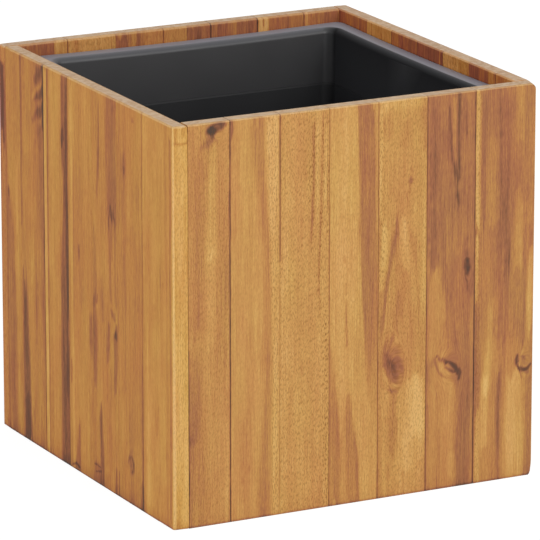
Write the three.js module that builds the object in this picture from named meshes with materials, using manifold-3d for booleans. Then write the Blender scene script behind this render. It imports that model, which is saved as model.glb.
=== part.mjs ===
// A square wooden planter: four walls of upright staves round a lift-out moulded pot.
// Millimetres, +Z up. The origin is the centre of the underside, +X runs to the right along the
// front wall and +Y runs from the front wall to the back wall.
import * as THREE from "three";
import { mergeVertices } from "three/addons/utils/BufferGeometryUtils.js";
import Module from "manifold-3d";

// The walls: outside size, board thickness, and how far the long edges are eased
const BOX_WIDTH = 435;
const BOX_HEIGHT = 440;
const STAVE_THICKNESS = 17.5;
const MIDDLE_STAVES = 5;
const EDGE_EASING = 1;

// Clearances: the hairline between two staves, and the gap between a piece and its seat
const STAVE_SEAM = 0.3;
const SEAT_GAP = 0.3;

// The frame inside: upright corner posts, and a top and a bottom rail along each wall
const POST_SIZE = 22;
const RAIL_THICKNESS = 20;
const RAIL_HEIGHT = 30;
const RAIL_FLOOR_GAP = 12;

// The base: slats across the left and right bottom rails, with gaps for the water
const SLAT_COUNT = 5;
const SLAT_THICKNESS = 12;
const SLAT_SPACING = 12;
const SLAT_END_GAP = 2;
const SLAT_POST_GAP = 1;

// The corner screws, from inside through a post into the wall that covers the corner
const SCREW_DIAMETER = 5;
const SCREW_BITE = 10;
const SCREW_TIP = 6;
const SCREW_HEAD_DIAMETER = 9;
const SCREW_HEAD_HEIGHT = 3;
const SCREW_FIT = 0.3;
const SCREW_FROM_POST_END = 90;

// The pot: rim, neck, stacking shoulder, drafted body, foot ring and drain holes
const RIM_BELOW_TOP = 15.5;
const RIM_CLEARANCE = 3;
const RIM_SKIRT = 10;
const RIM_ROUND = 2;
const LIP_ROUND = 1;
const RIM_CORNER_RADIUS = 12;
const LIP_CORNER_RADIUS = 9;
const POT_WALL = 2.5;
const POT_RAIL_CLEARANCE = 5;
const POT_POST_CLEARANCE = 3;
const NECK_DEPTH = 0.6;
const LEDGE_WIDTH = 6;
const LEDGE_DROP = 2;
const SHOULDER_DEPTH = 61;
const SHOULDER_STEP = 1;
const SHOULDER_SLOPE = 2;
const POT_DRAFT = THREE.MathUtils.degToRad(2);
const BODY_CORNER_RADIUS = 8;
const BASE_CORNER_RADIUS = 20;
const BASE_ROUND = 8;
const FOOT_HEIGHT = 4;
const FOOT_WIDTH = 9;
const DRAIN_DIAMETER = 10;

// How finely the round stretches are faceted
const CORNER_STEPS = 6;
const ROUND_STEPS = 3;
const ROUND_SIDES = 12;

// Oiled hardwood tones, from pale sapwood to dark heartwood, and the other finishes
const TONES = {
  honey: 0xdab26d,
  amber: 0xc89658,
  golden: 0xcf9d5c,
  umber: 0xb88048,
  russet: 0xa56f47,
};
const FRAME_TONE = 0xb4845a;
const POT_TONE = 0x2b2a2c;
const SCREW_TONE = 0xb9b6ae;

// Each wall's first stave butts against the wall before it, and its last stave covers a corner.
// The middle staves share the length that is left.
const FRONT_FIRST_STAVE = 49;
const FRONT_LAST_STAVE = 74;
const RIGHT_FIRST_STAVE = 40.5;
const RIGHT_LAST_STAVE = 83.5;
const BACK_FIRST_STAVE = 45.5;
const BACK_LAST_STAVE = 76.5;
const LEFT_FIRST_STAVE = 36.5;
const LEFT_LAST_STAVE = 74;

// The free corners of each wall's last stave are sanded round by hand, so each has its own radius
const FRONT_TOP_RADIUS = 7;
const FRONT_BOTTOM_RADIUS = 5;
const RIGHT_TOP_RADIUS = 7;
const RIGHT_BOTTOM_RADIUS = 5;
const BACK_TOP_RADIUS = 3;
const BACK_BOTTOM_RADIUS = 3;
const LEFT_TOP_RADIUS = 1.5;
const LEFT_BOTTOM_RADIUS = 4;

const WALLS = [
  {
    side: "front",
    corner: "front_right",
    firstStave: FRONT_FIRST_STAVE,
    lastStave: FRONT_LAST_STAVE,
    topRadius: FRONT_TOP_RADIUS,
    bottomRadius: FRONT_BOTTOM_RADIUS,
    tones: ["amber", "amber", "honey", "golden", "golden", "russet", "russet"],
  },
  {
    side: "right",
    corner: "back_right",
    firstStave: RIGHT_FIRST_STAVE,
    lastStave: RIGHT_LAST_STAVE,
    topRadius: RIGHT_TOP_RADIUS,
    bottomRadius: RIGHT_BOTTOM_RADIUS,
    tones: ["umber", "russet", "golden", "russet", "amber", "golden", "russet"],
  },
  {
    side: "back",
    corner: "back_left",
    firstStave: BACK_FIRST_STAVE,
    lastStave: BACK_LAST_STAVE,
    topRadius: BACK_TOP_RADIUS,
    bottomRadius: BACK_BOTTOM_RADIUS,
    tones: ["russet", "amber", "russet", "golden", "umber", "amber", "russet"],
  },
  {
    side: "left",
    corner: "front_left",
    firstStave: LEFT_FIRST_STAVE,
    lastStave: LEFT_LAST_STAVE,
    topRadius: LEFT_TOP_RADIUS,
    bottomRadius: LEFT_BOTTOM_RADIUS,
    tones: ["amber", "umber", "umber", "amber", "russet", "amber", "golden"],
  },
];

// Places that follow from the sizes above
const outerHalf = BOX_WIDTH / 2;
const innerHalf = outerHalf - STAVE_THICKNESS;
const postInner = innerHalf - SEAT_GAP - POST_SIZE;
const postCentre = postInner + POST_SIZE / 2;
const railInner = innerHalf - SEAT_GAP - RAIL_THICKNESS;
const railCentre = railInner + RAIL_THICKNESS / 2;
const railLength = 2 * (postInner - SEAT_GAP);
const rimTop = BOX_HEIGHT - RIM_BELOW_TOP;
const railTop = rimTop - RIM_SKIRT - SEAT_GAP;
const postHeight = railTop - RAIL_FLOOR_GAP;
const slatBottom = RAIL_FLOOR_GAP + RAIL_HEIGHT + SEAT_GAP;
const slatTop = slatBottom + SLAT_THICKNESS;
const slatSpan = 2 * (postInner - SLAT_POST_GAP);
const slatPitch = (slatSpan + SLAT_SPACING) / SLAT_COUNT;
const potBottom = slatTop + SEAT_GAP;

const wasm = await Module();
wasm.setup();

// A closed geometry as a solid that can be cut
function solidOf(geometry) {
  const bare = geometry.clone();
  bare.deleteAttribute("normal");
  bare.deleteAttribute("uv");
  const merged = mergeVertices(bare);
  return new wasm.Manifold(
    new wasm.Mesh({
      numProp: 3,
      vertProperties: merged.attributes.position.array,
      triVerts: new Uint32Array(merged.index.array),
    }),
  );
}

function geometryOf(solid) {
  const mesh = solid.getMesh();
  const geometry = new THREE.BufferGeometry();
  const corners = new THREE.BufferAttribute(mesh.vertProperties, mesh.numProp);
  geometry.setAttribute("position", corners);
  geometry.setIndex(new THREE.BufferAttribute(mesh.triVerts, 1));
  geometry.computeVertexNormals();
  return geometry;
}

function drill(geometry, bits) {
  const cut = (solid, bit) => solid.subtract(solidOf(bit));
  return geometryOf(bits.reduce(cut, solidOf(geometry)));
}

function wood(color) {
  return new THREE.MeshStandardMaterial({ color, roughness: 0.6, metalness: 0 });
}

function named(name, geometry, material, x = 0, y = 0, z = 0) {
  const mesh = new THREE.Mesh(geometry, material);
  mesh.name = name;
  mesh.position.set(x, y, z);
  return mesh;
}

// A board centred on the origin: its face lies in X and Z, its thickness runs along Y, and the
// edges round both faces are eased. The corners at its +X end can be sanded round.
function board(width, height, thickness, topRadius = 0, bottomRadius = 0) {
  const right = width / 2;
  const top = height / 2;
  const face = new THREE.Shape();
  face.moveTo(-right, -top);
  face.lineTo(right - bottomRadius, -top);
  if (bottomRadius > 0)
    face.absarc(right - bottomRadius, bottomRadius - top, bottomRadius, -Math.PI / 2, 0);
  face.lineTo(right, top - topRadius);
  if (topRadius > 0)
    face.absarc(right - topRadius, top - topRadius, topRadius, 0, Math.PI / 2);
  face.lineTo(-right, top);
  face.closePath();
  const geometry = new THREE.ExtrudeGeometry(face, {
    depth: thickness - 2 * EDGE_EASING,
    bevelEnabled: true,
    bevelThickness: EDGE_EASING,
    bevelSize: EDGE_EASING,
    bevelOffset: -EDGE_EASING,
    bevelSegments: 1,
    curveSegments: ROUND_STEPS,
  });
  return geometry.translate(0, 0, EDGE_EASING - thickness / 2).rotateX(Math.PI / 2);
}

// The heights of the two corner screws in each post
function screwHeights() {
  return [
    { level: "lower", z: RAIL_FLOOR_GAP + SCREW_FROM_POST_END },
    { level: "upper", z: railTop - SCREW_FROM_POST_END },
  ];
}

// A hole for a corner screw, along Y, with its middle at y
function screwHole(x, y, z, depth) {
  const radius = SCREW_DIAMETER / 2 + SCREW_FIT;
  const hole = new THREE.CylinderGeometry(radius, radius, depth, ROUND_SIDES);
  return hole.translate(x, y, z);
}

// A round-headed screw turned about Y, with the underside of its head at the origin
function cornerScrew() {
  const shank = SCREW_DIAMETER / 2;
  const head = SCREW_HEAD_DIAMETER / 2;
  const length = SEAT_GAP + POST_SIZE + SEAT_GAP + SCREW_BITE;
  const profile = [
    new THREE.Vector2(0, -length),
    new THREE.Vector2(shank, SCREW_TIP - length),
    new THREE.Vector2(shank, 0),
    new THREE.Vector2(head, 0),
  ];
  for (let i = 1; i <= ROUND_STEPS; i++) {
    const angle = ((i / ROUND_STEPS) * Math.PI) / 2;
    const radius = i < ROUND_STEPS ? head * Math.cos(angle) : 0;
    profile.push(new THREE.Vector2(radius, SCREW_HEAD_HEIGHT * Math.sin(angle)));
  }
  return new THREE.LatheGeometry(profile, ROUND_SIDES);
}

// The staves of one wall, drawn as the front wall: first stave on the left, covering one on the right
function staves({ side, firstStave, lastStave, topRadius, bottomRadius, tones }) {
  const run = BOX_WIDTH - STAVE_THICKNESS;
  const middle = (run - firstStave - lastStave) / MIDDLE_STAVES;
  const widths = [firstStave, ...Array(MIDDLE_STAVES).fill(middle), lastStave];
  const last = widths.length - 1;
  let left = -innerHalf;
  return widths.map((width, i) => {
    const x = left + STAVE_SEAM + (width - STAVE_SEAM) / 2;
    const y = -innerHalf - STAVE_THICKNESS / 2;
    const rounds = i === last ? [topRadius, bottomRadius] : [];
    let geometry = board(width - STAVE_SEAM, BOX_HEIGHT, STAVE_THICKNESS, ...rounds);
    geometry.translate(x, y, BOX_HEIGHT / 2);
    if (i === last) {
      const depth = 2 * (SCREW_BITE + SCREW_FIT);
      const holes = screwHeights().map(({ z }) => screwHole(postCentre, -innerHalf, z, depth));
      geometry = drill(geometry, holes);
    }
    left += width;
    return named(`${side}_stave_${i + 1}`, geometry, wood(TONES[tones[i % tones.length]]));
  });
}

function rails({ side }) {
  const geometry = board(railLength, RAIL_HEIGHT, RAIL_THICKNESS);
  const low = RAIL_FLOOR_GAP + RAIL_HEIGHT / 2;
  const high = railTop - RAIL_HEIGHT / 2;
  return [
    named(`${side}_bottom_rail`, geometry, wood(FRAME_TONE), 0, -railCentre, low),
    named(`${side}_top_rail`, geometry, wood(FRAME_TONE), 0, -railCentre, high),
  ];
}

// The post behind the corner that this wall covers, with its two screws
function cornerPost({ corner }) {
  const steel = new THREE.MeshStandardMaterial({ color: SCREW_TONE, roughness: 0.4, metalness: 1 });
  const block = board(POST_SIZE, postHeight, POST_SIZE);
  block.translate(postCentre, -postCentre, RAIL_FLOOR_GAP + postHeight / 2);
  const holes = screwHeights().map(({ z }) => screwHole(postCentre, -postCentre, z, 2 * POST_SIZE));
  const headSeat = SEAT_GAP - postInner;
  const screws = screwHeights().map(({ level, z }) =>
    named(`${corner}_screw_${level}`, cornerScrew(), steel, postCentre, headSeat, z),
  );
  return [named(`${corner}_post`, drill(block, holes), wood(FRAME_TONE)), ...screws];
}

function baseSlats() {
  const geometry = board(2 * (innerHalf - SLAT_END_GAP), slatPitch - SLAT_SPACING, SLAT_THICKNESS);
  geometry.rotateX(Math.PI / 2);
  const z = slatBottom + SLAT_THICKNESS / 2;
  return Array.from({ length: SLAT_COUNT }, (_, i) => {
    const y = (i - (SLAT_COUNT - 1) / 2) * slatPitch;
    return named(`base_slat_${i + 1}`, geometry, wood(FRAME_TONE), 0, y, z);
  });
}

// One ring of a rounded square, counter-clockwise from above, at height z
function roundedSquare({ half, radius, z }) {
  const ring = [];
  for (let corner = 0; corner < 4; corner++) {
    const middle = (corner + 0.5) * (Math.PI / 2);
    const x = Math.sign(Math.cos(middle)) * (half - radius);
    const y = Math.sign(Math.sin(middle)) * (half - radius);
    for (let i = 0; i <= CORNER_STEPS; i++) {
      const angle = (corner + i / CORNER_STEPS) * (Math.PI / 2);
      ring.push([x + radius * Math.cos(angle), y + radius * Math.sin(angle), z]);
    }
  }
  return ring;
}

// A closed shell lofted through rings, with a fan to the centre at both ends
function loft(stations) {
  const rings = stations.map(roundedSquare);
  const count = rings[0].length;
  const points = rings.flat();
  const faces = [];
  for (let i = 0; i + 1 < rings.length; i++)
    for (let j = 0; j < count; j++) {
      const a = i * count + j;
      const b = i * count + ((j + 1) % count);
      faces.push(a, b, b + count, a, b + count, a + count);
    }
  const first = points.push([0, 0, stations[0].z]) - 1;
  const final = points.push([0, 0, stations.at(-1).z]) - 1;
  const top = (rings.length - 1) * count;
  for (let j = 0; j < count; j++) {
    const next = (j + 1) % count;
    faces.push(first, next, j, final, top + j, top + next);
  }
  const geometry = new THREE.BufferGeometry();
  geometry.setAttribute("position", new THREE.Float32BufferAttribute(points.flat(), 3));
  geometry.setIndex(faces);
  geometry.computeVertexNormals();
  return geometry;
}

// Stations round a quarter circle in the section: centre, size, and start and end angle.
// The corner radius grows and shrinks with the half width, so the wall keeps its thickness.
function roundOver(half, z, size, start, end, cornerRadius) {
  return Array.from({ length: ROUND_STEPS + 1 }, (_, i) => {
    const angle = start + ((end - start) * i) / ROUND_STEPS;
    const out = size * Math.cos(angle);
    return { half: half + out, radius: cornerRadius + out, z: z + size * Math.sin(angle) };
  });
}

// The pot's section runs from the middle of its underside, out and up its outside, over the rim,
// and down its inside to the middle of its floor.
function potStations() {
  const rimHalf = innerHalf - RIM_CLEARANCE;
  const neckFoot = rimTop - LIP_ROUND - NECK_DEPTH;
  const bodyTop = neckFoot - LEDGE_DROP;
  const shoulder = rimTop - SHOULDER_DEPTH;
  const bodyHalf = railInner - POT_RAIL_CLEARANCE;
  const diagonalShare = 1 - Math.SQRT1_2;
  const clearingRadius = (bodyHalf - postInner + POT_POST_CLEARANCE) / diagonalShare;
  const bodyRadius = Math.max(BODY_CORNER_RADIUS, clearingRadius);
  const baseRadius = Math.max(BASE_CORNER_RADIUS, bodyRadius);
  const lipHalf = bodyHalf - POT_WALL + LEDGE_WIDTH;
  const slope = Math.tan(POT_DRAFT);

  // The body at height z: inset is 0 on the outside and POT_WALL on the inside
  const body = (z, inset, step) => {
    const depth = (bodyTop - z) / (bodyTop - potBottom);
    return {
      half: bodyHalf - (bodyTop - z) * slope - inset - step,
      radius: bodyRadius + (baseRadius - bodyRadius) * depth - inset,
      z,
    };
  };
  const at = (half, radius, z) => ({ half, radius, z });

  const foot = body(potBottom + BASE_ROUND, BASE_ROUND, SHOULDER_STEP);
  const floorTop = potBottom + FOOT_HEIGHT + POT_WALL;
  const floor = body(floorTop + BASE_ROUND, POT_WALL + BASE_ROUND, SHOULDER_STEP);
  const skirtInside = rimHalf - POT_WALL;
  const skirtRadius = RIM_CORNER_RADIUS - POT_WALL;
  const rimBottom = rimTop - RIM_SKIRT;
  const web = rimTop - POT_WALL;
  const quarter = Math.PI / 2;

  return [
    at(foot.half - FOOT_WIDTH, foot.radius - FOOT_WIDTH, potBottom + FOOT_HEIGHT),
    at(foot.half - FOOT_WIDTH, foot.radius - FOOT_WIDTH, potBottom),
    ...roundOver(foot.half, foot.z, BASE_ROUND, -quarter, 0, foot.radius),
    body(shoulder - SHOULDER_SLOPE, 0, SHOULDER_STEP),
    body(shoulder, 0, 0),
    body(bodyTop - POT_WALL, 0, 0),
    at(lipHalf + POT_WALL, LIP_CORNER_RADIUS + POT_WALL, neckFoot - POT_WALL),
    at(lipHalf + POT_WALL, LIP_CORNER_RADIUS + POT_WALL, web),
    at(skirtInside, skirtRadius, web),
    at(skirtInside, skirtRadius, rimBottom),
    at(rimHalf, RIM_CORNER_RADIUS, rimBottom),
    ...roundOver(
      rimHalf - RIM_ROUND,
      rimTop - RIM_ROUND,
      RIM_ROUND,
      0,
      quarter,
      RIM_CORNER_RADIUS - RIM_ROUND,
    ),
    ...roundOver(
      lipHalf + LIP_ROUND,
      rimTop - LIP_ROUND,
      LIP_ROUND,
      quarter,
      2 * quarter,
      LIP_CORNER_RADIUS + LIP_ROUND,
    ),
    at(lipHalf, LIP_CORNER_RADIUS, neckFoot),
    body(bodyTop, POT_WALL, 0),
    body(shoulder, POT_WALL, 0),
    body(shoulder - SHOULDER_SLOPE, POT_WALL, SHOULDER_STEP),
    ...roundOver(floor.half, floor.z, BASE_ROUND, 0, -quarter, floor.radius),
  ];
}

// The moulded pot, with a drain hole near each corner over the outermost gaps between the slats
function innerPot() {
  const plastic = new THREE.MeshStandardMaterial({ color: POT_TONE, roughness: 0.5, metalness: 0 });
  const offset = (slatPitch * (SLAT_COUNT - 2)) / 2;
  const depth = 2 * (FOOT_HEIGHT + POT_WALL);
  const holes = [];
  for (const x of [-offset, offset])
    for (const y of [-offset, offset]) {
      const radius = DRAIN_DIAMETER / 2;
      const hole = new THREE.CylinderGeometry(radius, radius, depth, ROUND_SIDES);
      holes.push(hole.rotateX(Math.PI / 2).translate(x, y, potBottom + FOOT_HEIGHT));
    }
  return named("inner_pot", drill(loft(potStations()), holes), plastic);
}

const planter = new THREE.Group();
WALLS.forEach((wall, quarterTurns) => {
  const side = new THREE.Group();
  side.rotation.z = (quarterTurns * Math.PI) / 2;
  side.add(...staves(wall), ...rails(wall), ...cornerPost(wall));
  planter.add(side);
});
planter.add(...baseSlats(), innerPot());

export default planter;
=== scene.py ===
# %% [markdown]
# # A square wooden planter with a lift-out pot
# Four walls of upright oiled staves stand round an inner frame of posts and rails, and a dark
# moulded pot stands between them. The solids come from the frame. This script gives every piece its
# finished surface: the eased and sanded boards with their grain and knots, the pot with its soft
# round edges, and the screws that hold the frame.

from math import radians

import bpy
import numpy as np
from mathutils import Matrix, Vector
from mathutils.geometry import delaunay_2d_cdt


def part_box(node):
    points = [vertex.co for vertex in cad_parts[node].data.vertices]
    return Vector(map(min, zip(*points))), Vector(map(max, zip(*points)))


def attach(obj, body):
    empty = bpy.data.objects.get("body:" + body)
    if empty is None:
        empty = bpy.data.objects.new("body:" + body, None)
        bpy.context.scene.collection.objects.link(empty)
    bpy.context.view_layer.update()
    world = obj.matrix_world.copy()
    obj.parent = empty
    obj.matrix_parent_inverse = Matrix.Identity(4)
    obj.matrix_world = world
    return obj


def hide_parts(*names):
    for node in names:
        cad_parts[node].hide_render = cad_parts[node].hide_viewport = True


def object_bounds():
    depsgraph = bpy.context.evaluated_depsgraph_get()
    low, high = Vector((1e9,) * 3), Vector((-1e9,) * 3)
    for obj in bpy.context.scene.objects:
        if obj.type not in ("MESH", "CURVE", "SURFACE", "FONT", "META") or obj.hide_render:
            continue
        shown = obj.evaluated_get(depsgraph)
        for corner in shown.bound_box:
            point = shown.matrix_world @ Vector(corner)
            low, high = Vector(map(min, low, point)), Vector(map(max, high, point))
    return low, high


MM = 0.001

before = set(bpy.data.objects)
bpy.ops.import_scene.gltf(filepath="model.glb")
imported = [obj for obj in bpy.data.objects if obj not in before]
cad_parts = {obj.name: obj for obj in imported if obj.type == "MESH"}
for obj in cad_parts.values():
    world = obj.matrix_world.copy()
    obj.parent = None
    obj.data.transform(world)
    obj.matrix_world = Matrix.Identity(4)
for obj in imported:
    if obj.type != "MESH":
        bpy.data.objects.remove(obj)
cad_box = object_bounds()
half_width = cad_box[1].x / MM
box_height = cad_box[1].z / MM
print(f"frame: {len(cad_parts)} nodes, {2 * half_width:.0f} mm wide, {box_height:.0f} mm high")

# %% [markdown]
# ## Camera
# The photograph was taken from far away with a long lens, so upright edges stay nearly upright and
# the far corner is hardly smaller than the near one. The place, the lens and the two angles were
# found by fitting the box's seven visible corners.

# %% Place the camera
CAMERA_AT = (-2.585, -5.035, 1.765)
CAMERA_TILT = 74.6
CAMERA_TURN = -27.25
CAMERA_LENS = 355.6

camera = bpy.data.objects.new("camera", bpy.data.cameras.new("camera"))
camera.location = CAMERA_AT
camera.rotation_euler = (radians(CAMERA_TILT), 0, radians(CAMERA_TURN))
camera.data.lens = CAMERA_LENS
bpy.context.collection.objects.link(camera)
bpy.context.scene.camera = camera
bpy.context.scene.view_settings.view_transform = "Standard"
print("camera: lens", CAMERA_LENS, "mm")

# %% [markdown]
# ## Building materials from nodes
# A material is a small graph. Each texture node takes a position and gives a number, and a shader
# node turns colour, roughness and bump into light. One helper adds a node with its settings and
# links, and one function turns the hex colours seen on a screen into the linear light that a
# renderer adds up.


# %% Node and colour helpers
def add_node(tree, kind, inputs=None, **settings):
    """Adds one node: settings are its properties, inputs are values or other nodes' outputs."""
    node = tree.nodes.new(kind)
    for key, value in settings.items():
        setattr(node, key, value)
    for key, value in (inputs or {}).items():
        if isinstance(value, bpy.types.NodeSocket):
            tree.links.new(value, node.inputs[key])
        else:
            node.inputs[key].default_value = value
    return node


def linear(colour):
    """sRGB hex to linear RGBA: c/12.92 near black, otherwise ((c + 0.055)/1.055) to the 2.4."""
    srgb = np.array([int(colour[i : i + 2], 16) for i in (1, 3, 5)]) / 255
    light = np.where(srgb <= 0.04045, srgb / 12.92, ((srgb + 0.055) / 1.055) ** 2.4)
    return (*light.tolist(), 1.0)


def new_material(name):
    """An empty node material and its tree."""
    material = bpy.data.materials.new(name)
    material.use_nodes = True
    material.node_tree.nodes.clear()
    return material, material.node_tree


def set_stops(ramp, colours):
    """Gives a ramp one stop per colour, at its key's share of the highest key."""
    stops = ramp.color_ramp.elements
    while len(stops) < len(colours):
        stops.new(0.5)
    for stop, (where, colour) in zip(stops, colours.items()):
        stop.position = where / max(colours)
        stop.color = linear(colour)


print("amber is", [round(c, 3) for c in linear("#c08b4f")])

# %% [markdown]
# ## Floor and light
# The photograph has a white studio ground. A pale floor that also shines a little of its own light
# towards the camera stays white and still takes the soft shadow under the box. The light is an even
# sky with two large softboxes: a key in front, high enough to shine over the front wall onto the back
# of the pot, and a lower, weaker one on the left. Together they light the two walls so that colours
# come out about as they are written, the front a little brighter.

# %% Stage
FLOOR_HALF = 40.0
FLOOR_GLOW = 0.75
GLOW_LEVEL = 1.2
SKY_LEVEL = 0.58
WHITE = "#ffffff"
PAPER = "#f4f4f4"
SOFTBOXES = {"key": ((0.6, -4.2, 2.3), 2.0, 80.0), "fill": ((-4.4, -0.6, 0.6), 1.8, 64.0)}


def looked_at(tree):
    """1 where a ray shows the ground to the eye: straight, mirrored or through glass."""
    path = add_node(tree, "ShaderNodeLightPath")
    seen = path.outputs["Is Camera Ray"]
    for way in ("Is Glossy Ray", "Is Transmission Ray"):
        either = add_node(tree, "ShaderNodeMath", {0: seen, 1: path.outputs[way]}, operation="MAXIMUM")
        seen = either.outputs[0]
    return seen


world = bpy.data.worlds.new("studio")
world.use_nodes = True
bpy.context.scene.world = world
sky = world.node_tree
sky.nodes.clear()
seen = looked_at(sky)
level = add_node(sky, "ShaderNodeMapRange", {"Value": seen, "To Min": SKY_LEVEL, "To Max": 1.0})
glow = add_node(sky, "ShaderNodeBackground", {"Color": linear(WHITE), "Strength": level.outputs[0]})
add_node(sky, "ShaderNodeOutputWorld", {"Surface": glow.outputs[0]})

paper, tree = new_material("white_studio_paper")
share = add_node(tree, "ShaderNodeMapRange", {"Value": looked_at(tree), "To Max": FLOOR_GLOW})
matte = add_node(tree, "ShaderNodeBsdfDiffuse", {"Color": linear(PAPER)})
shine = add_node(tree, "ShaderNodeEmission", {"Color": linear(WHITE), "Strength": GLOW_LEVEL})
both = add_node(
    tree,
    "ShaderNodeMixShader",
    {0: share.outputs[0], 1: matte.outputs[0], 2: shine.outputs[0]},
)
add_node(tree, "ShaderNodeOutputMaterial", {"Surface": both.outputs[0]})

corners = FLOOR_HALF * np.array([(-1, -1, 0), (1, -1, 0), (1, 1, 0), (-1, 1, 0)])
floor_mesh = bpy.data.meshes.new("studio_floor")
floor_mesh.from_pydata(corners.tolist(), [], [(0, 1, 2, 3)])
floor_mesh.materials.append(paper)
studio_floor = bpy.data.objects.new("studio_floor", floor_mesh)
bpy.context.collection.objects.link(studio_floor)

for name, (place, size, power) in SOFTBOXES.items():
    lamp = bpy.data.objects.new(name, bpy.data.lights.new(name, "AREA"))
    lamp.data.size = size
    lamp.data.energy = power
    lamp.location = place
    lamp.rotation_mode = "QUATERNION"
    lamp.rotation_quaternion = (-lamp.location).to_track_quat("-Z", "Y")
    bpy.context.collection.objects.link(lamp)
print("stage: sky", SKY_LEVEL, "and", len(SOFTBOXES), "softboxes")

# %% [markdown]
# ## A board as a surface
# A sawn board is a box, but no real edge is sharp: sanding eases a free edge over a millimetre or
# more, and hands and weather wear some edges further. One way to make that is a Bevel modifier. Here
# the six faces are grids of points, and every point is pushed onto the eased form by a formula. Each
# edge can then have an easing of its own, which may change along the board, and the faces have
# enough points to carry the figure of the wood.

# %% Board shell
EASED_LINES = 4
SAMPLE_BOARD = (60, 18, 440)
SAMPLE_EASING = 0.7
SAMPLE_CELL = 4


def grid_lines(length, low, high, cell):
    """Places along one edge of a board: close together over the eased ends, even between them."""
    near = low * np.linspace(0, 1, EASED_LINES)[:-1]
    far = length - high * np.linspace(1, 0, EASED_LINES)[1:]
    count = max(1, round((length - low - high) / cell))
    return np.concatenate([near, np.linspace(low, length - high, count + 1), far])


def box_shell(lines):
    """The six faces of a box as welded grids: points at the lines' crossings, quads facing out."""
    counts = [len(line) for line in lines]
    low_face = [(0, 0), (0, 1), (1, 1), (1, 0)]
    high_face = [(0, 0), (1, 0), (1, 1), (0, 1)]
    quads = []
    for axis in range(3):
        u, v = (axis + 1) % 3, (axis + 2) % 3
        iu, iv = np.meshgrid(np.arange(counts[u] - 1), np.arange(counts[v] - 1), indexing="ij")
        for end, turn in ((0, low_face), (1, high_face)):
            corner = np.zeros((iu.size, 4, 3), int)
            corner[:, :, axis] = end * (counts[axis] - 1)
            corner[:, :, u] = iu.reshape(-1, 1) + [step[0] for step in turn]
            corner[:, :, v] = iv.reshape(-1, 1) + [step[1] for step in turn]
            quads.append(np.ravel_multi_index(np.moveaxis(corner, 2, 0), counts))
    used, quads = np.unique(np.concatenate(quads), return_inverse=True)
    places = np.unravel_index(used, counts)
    points = np.stack([line[place] for line, place in zip(lines, places)], axis=1)
    return points, quads.reshape(-1, 4)


def ease(points, size, low, high):
    """Pushes box points onto an ellipse at each edge: a unit step from the core, times the easing."""
    core = np.clip(points, low, size - high)
    out = points - core
    easing = np.where(out < 0, low, high)
    step = out / easing
    return core + easing * step / np.linalg.norm(step, axis=1, keepdims=True)


sample_lines = [grid_lines(s, SAMPLE_EASING, SAMPLE_EASING, SAMPLE_CELL) for s in SAMPLE_BOARD]
sample, sample_quads = box_shell(sample_lines)
print("board shell:", len(sample), "points,", len(sample_quads), "quads")

# %% [markdown]
# ## The figure of the wood
# Acacia boards run from pale honey sapwood to russet heartwood, with dark purple-brown streaks and
# knots. All those colours lie on one line from pale to dark, so one number per point, the shade, is
# enough. It starts from the stave's own tone. Streaks, flames and knots are strokes laid over it,
# each a line of points with a width. Colour runs along the fibres of real wood, so a stroke's ends
# are frayed along them, and slow random hills add the bands of the growth rings. Each set of hills
# has a height, a size across and along the fibres in millimetres, and a number that is added to the
# seed.

# %% Noise, strokes and knots
NOISE_CELLS = 64
WAVER_HILLS = ((0.9, 11, 48, 0), (0.25, 4, 15, 1))
RING_HILLS = ((0.08, 15, 180, 7), (0.05, 6, 230, 2), (0.035, 2.4, 90, 3))
CLOUD_HILLS = ((0.04, 13, 24, 4),)
FRAY_HILLS = ((1, 2.2, 130, 5),)
STREAK_HILLS = ((0.15, 1.8, 60, 6),)
FRAY_SHARE = 0.14
FRAY_MOST = 24
BEND = 0.6
STAGGER = 0.5
BOARD_SPACING = 500.0
BOARD_SPACES = 97
FAR_OUTSIDE = -1e6


def hills(u, v, seed):
    """Smooth random hills from -1 to 1: lattice values blended with 3t^2 - 2t^3 between them."""
    table = np.random.default_rng(seed).uniform(-1, 1, (NOISE_CELLS, NOISE_CELLS))
    iu, iv = np.floor(u).astype(int), np.floor(v).astype(int)
    tu, tv = u - iu, v - iv
    su, sv = tu * tu * (3 - 2 * tu), tv * tv * (3 - 2 * tv)
    a, b = iu % NOISE_CELLS, iv % NOISE_CELLS
    c, d = (iu + 1) % NOISE_CELLS, (iv + 1) % NOISE_CELLS
    near = table[a, b] * (1 - su) + table[c, b] * su
    far = table[a, d] * (1 - su) + table[c, d] * su
    return near * (1 - sv) + far * sv


def hill_sum(sets, across, down, seed):
    """Several sets of hills added up, each stretched to its own sizes and scaled to its height."""
    return sum(height * hills(across / wide, down / long, seed + n) for height, wide, long, n in sets)


def stroke(across, down, softness, points):
    """How far inside a stroke a point lies, 0 to 1: half its width less the distance to its line.
    A fourth number at a point of the line, 1 if left out, is the stroke's strength there."""
    line = np.array([(*point, 1)[:4] for point in points], float)
    inside = np.full(across.shape, FAR_OUTSIDE)
    strength = np.zeros(across.shape)
    for (a0, d0, w0, s0), (a1, d1, w1, s1) in zip(line, line[1:]):
        run, drop = a1 - a0, d1 - d0
        share = ((across - a0) * run + (down - d0) * drop) / (run * run + drop * drop)
        share = np.clip(share, 0, 1)
        gap = np.hypot(across - a0 - share * run, down - d0 - share * drop)
        depth = (w0 + (w1 - w0) * share) / 2 - gap
        strength = np.where(depth > inside, s0 + (s1 - s0) * share, strength)
        inside = np.maximum(inside, depth)
    return strength * np.clip(0.5 + inside / softness, 0, 1)


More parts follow.
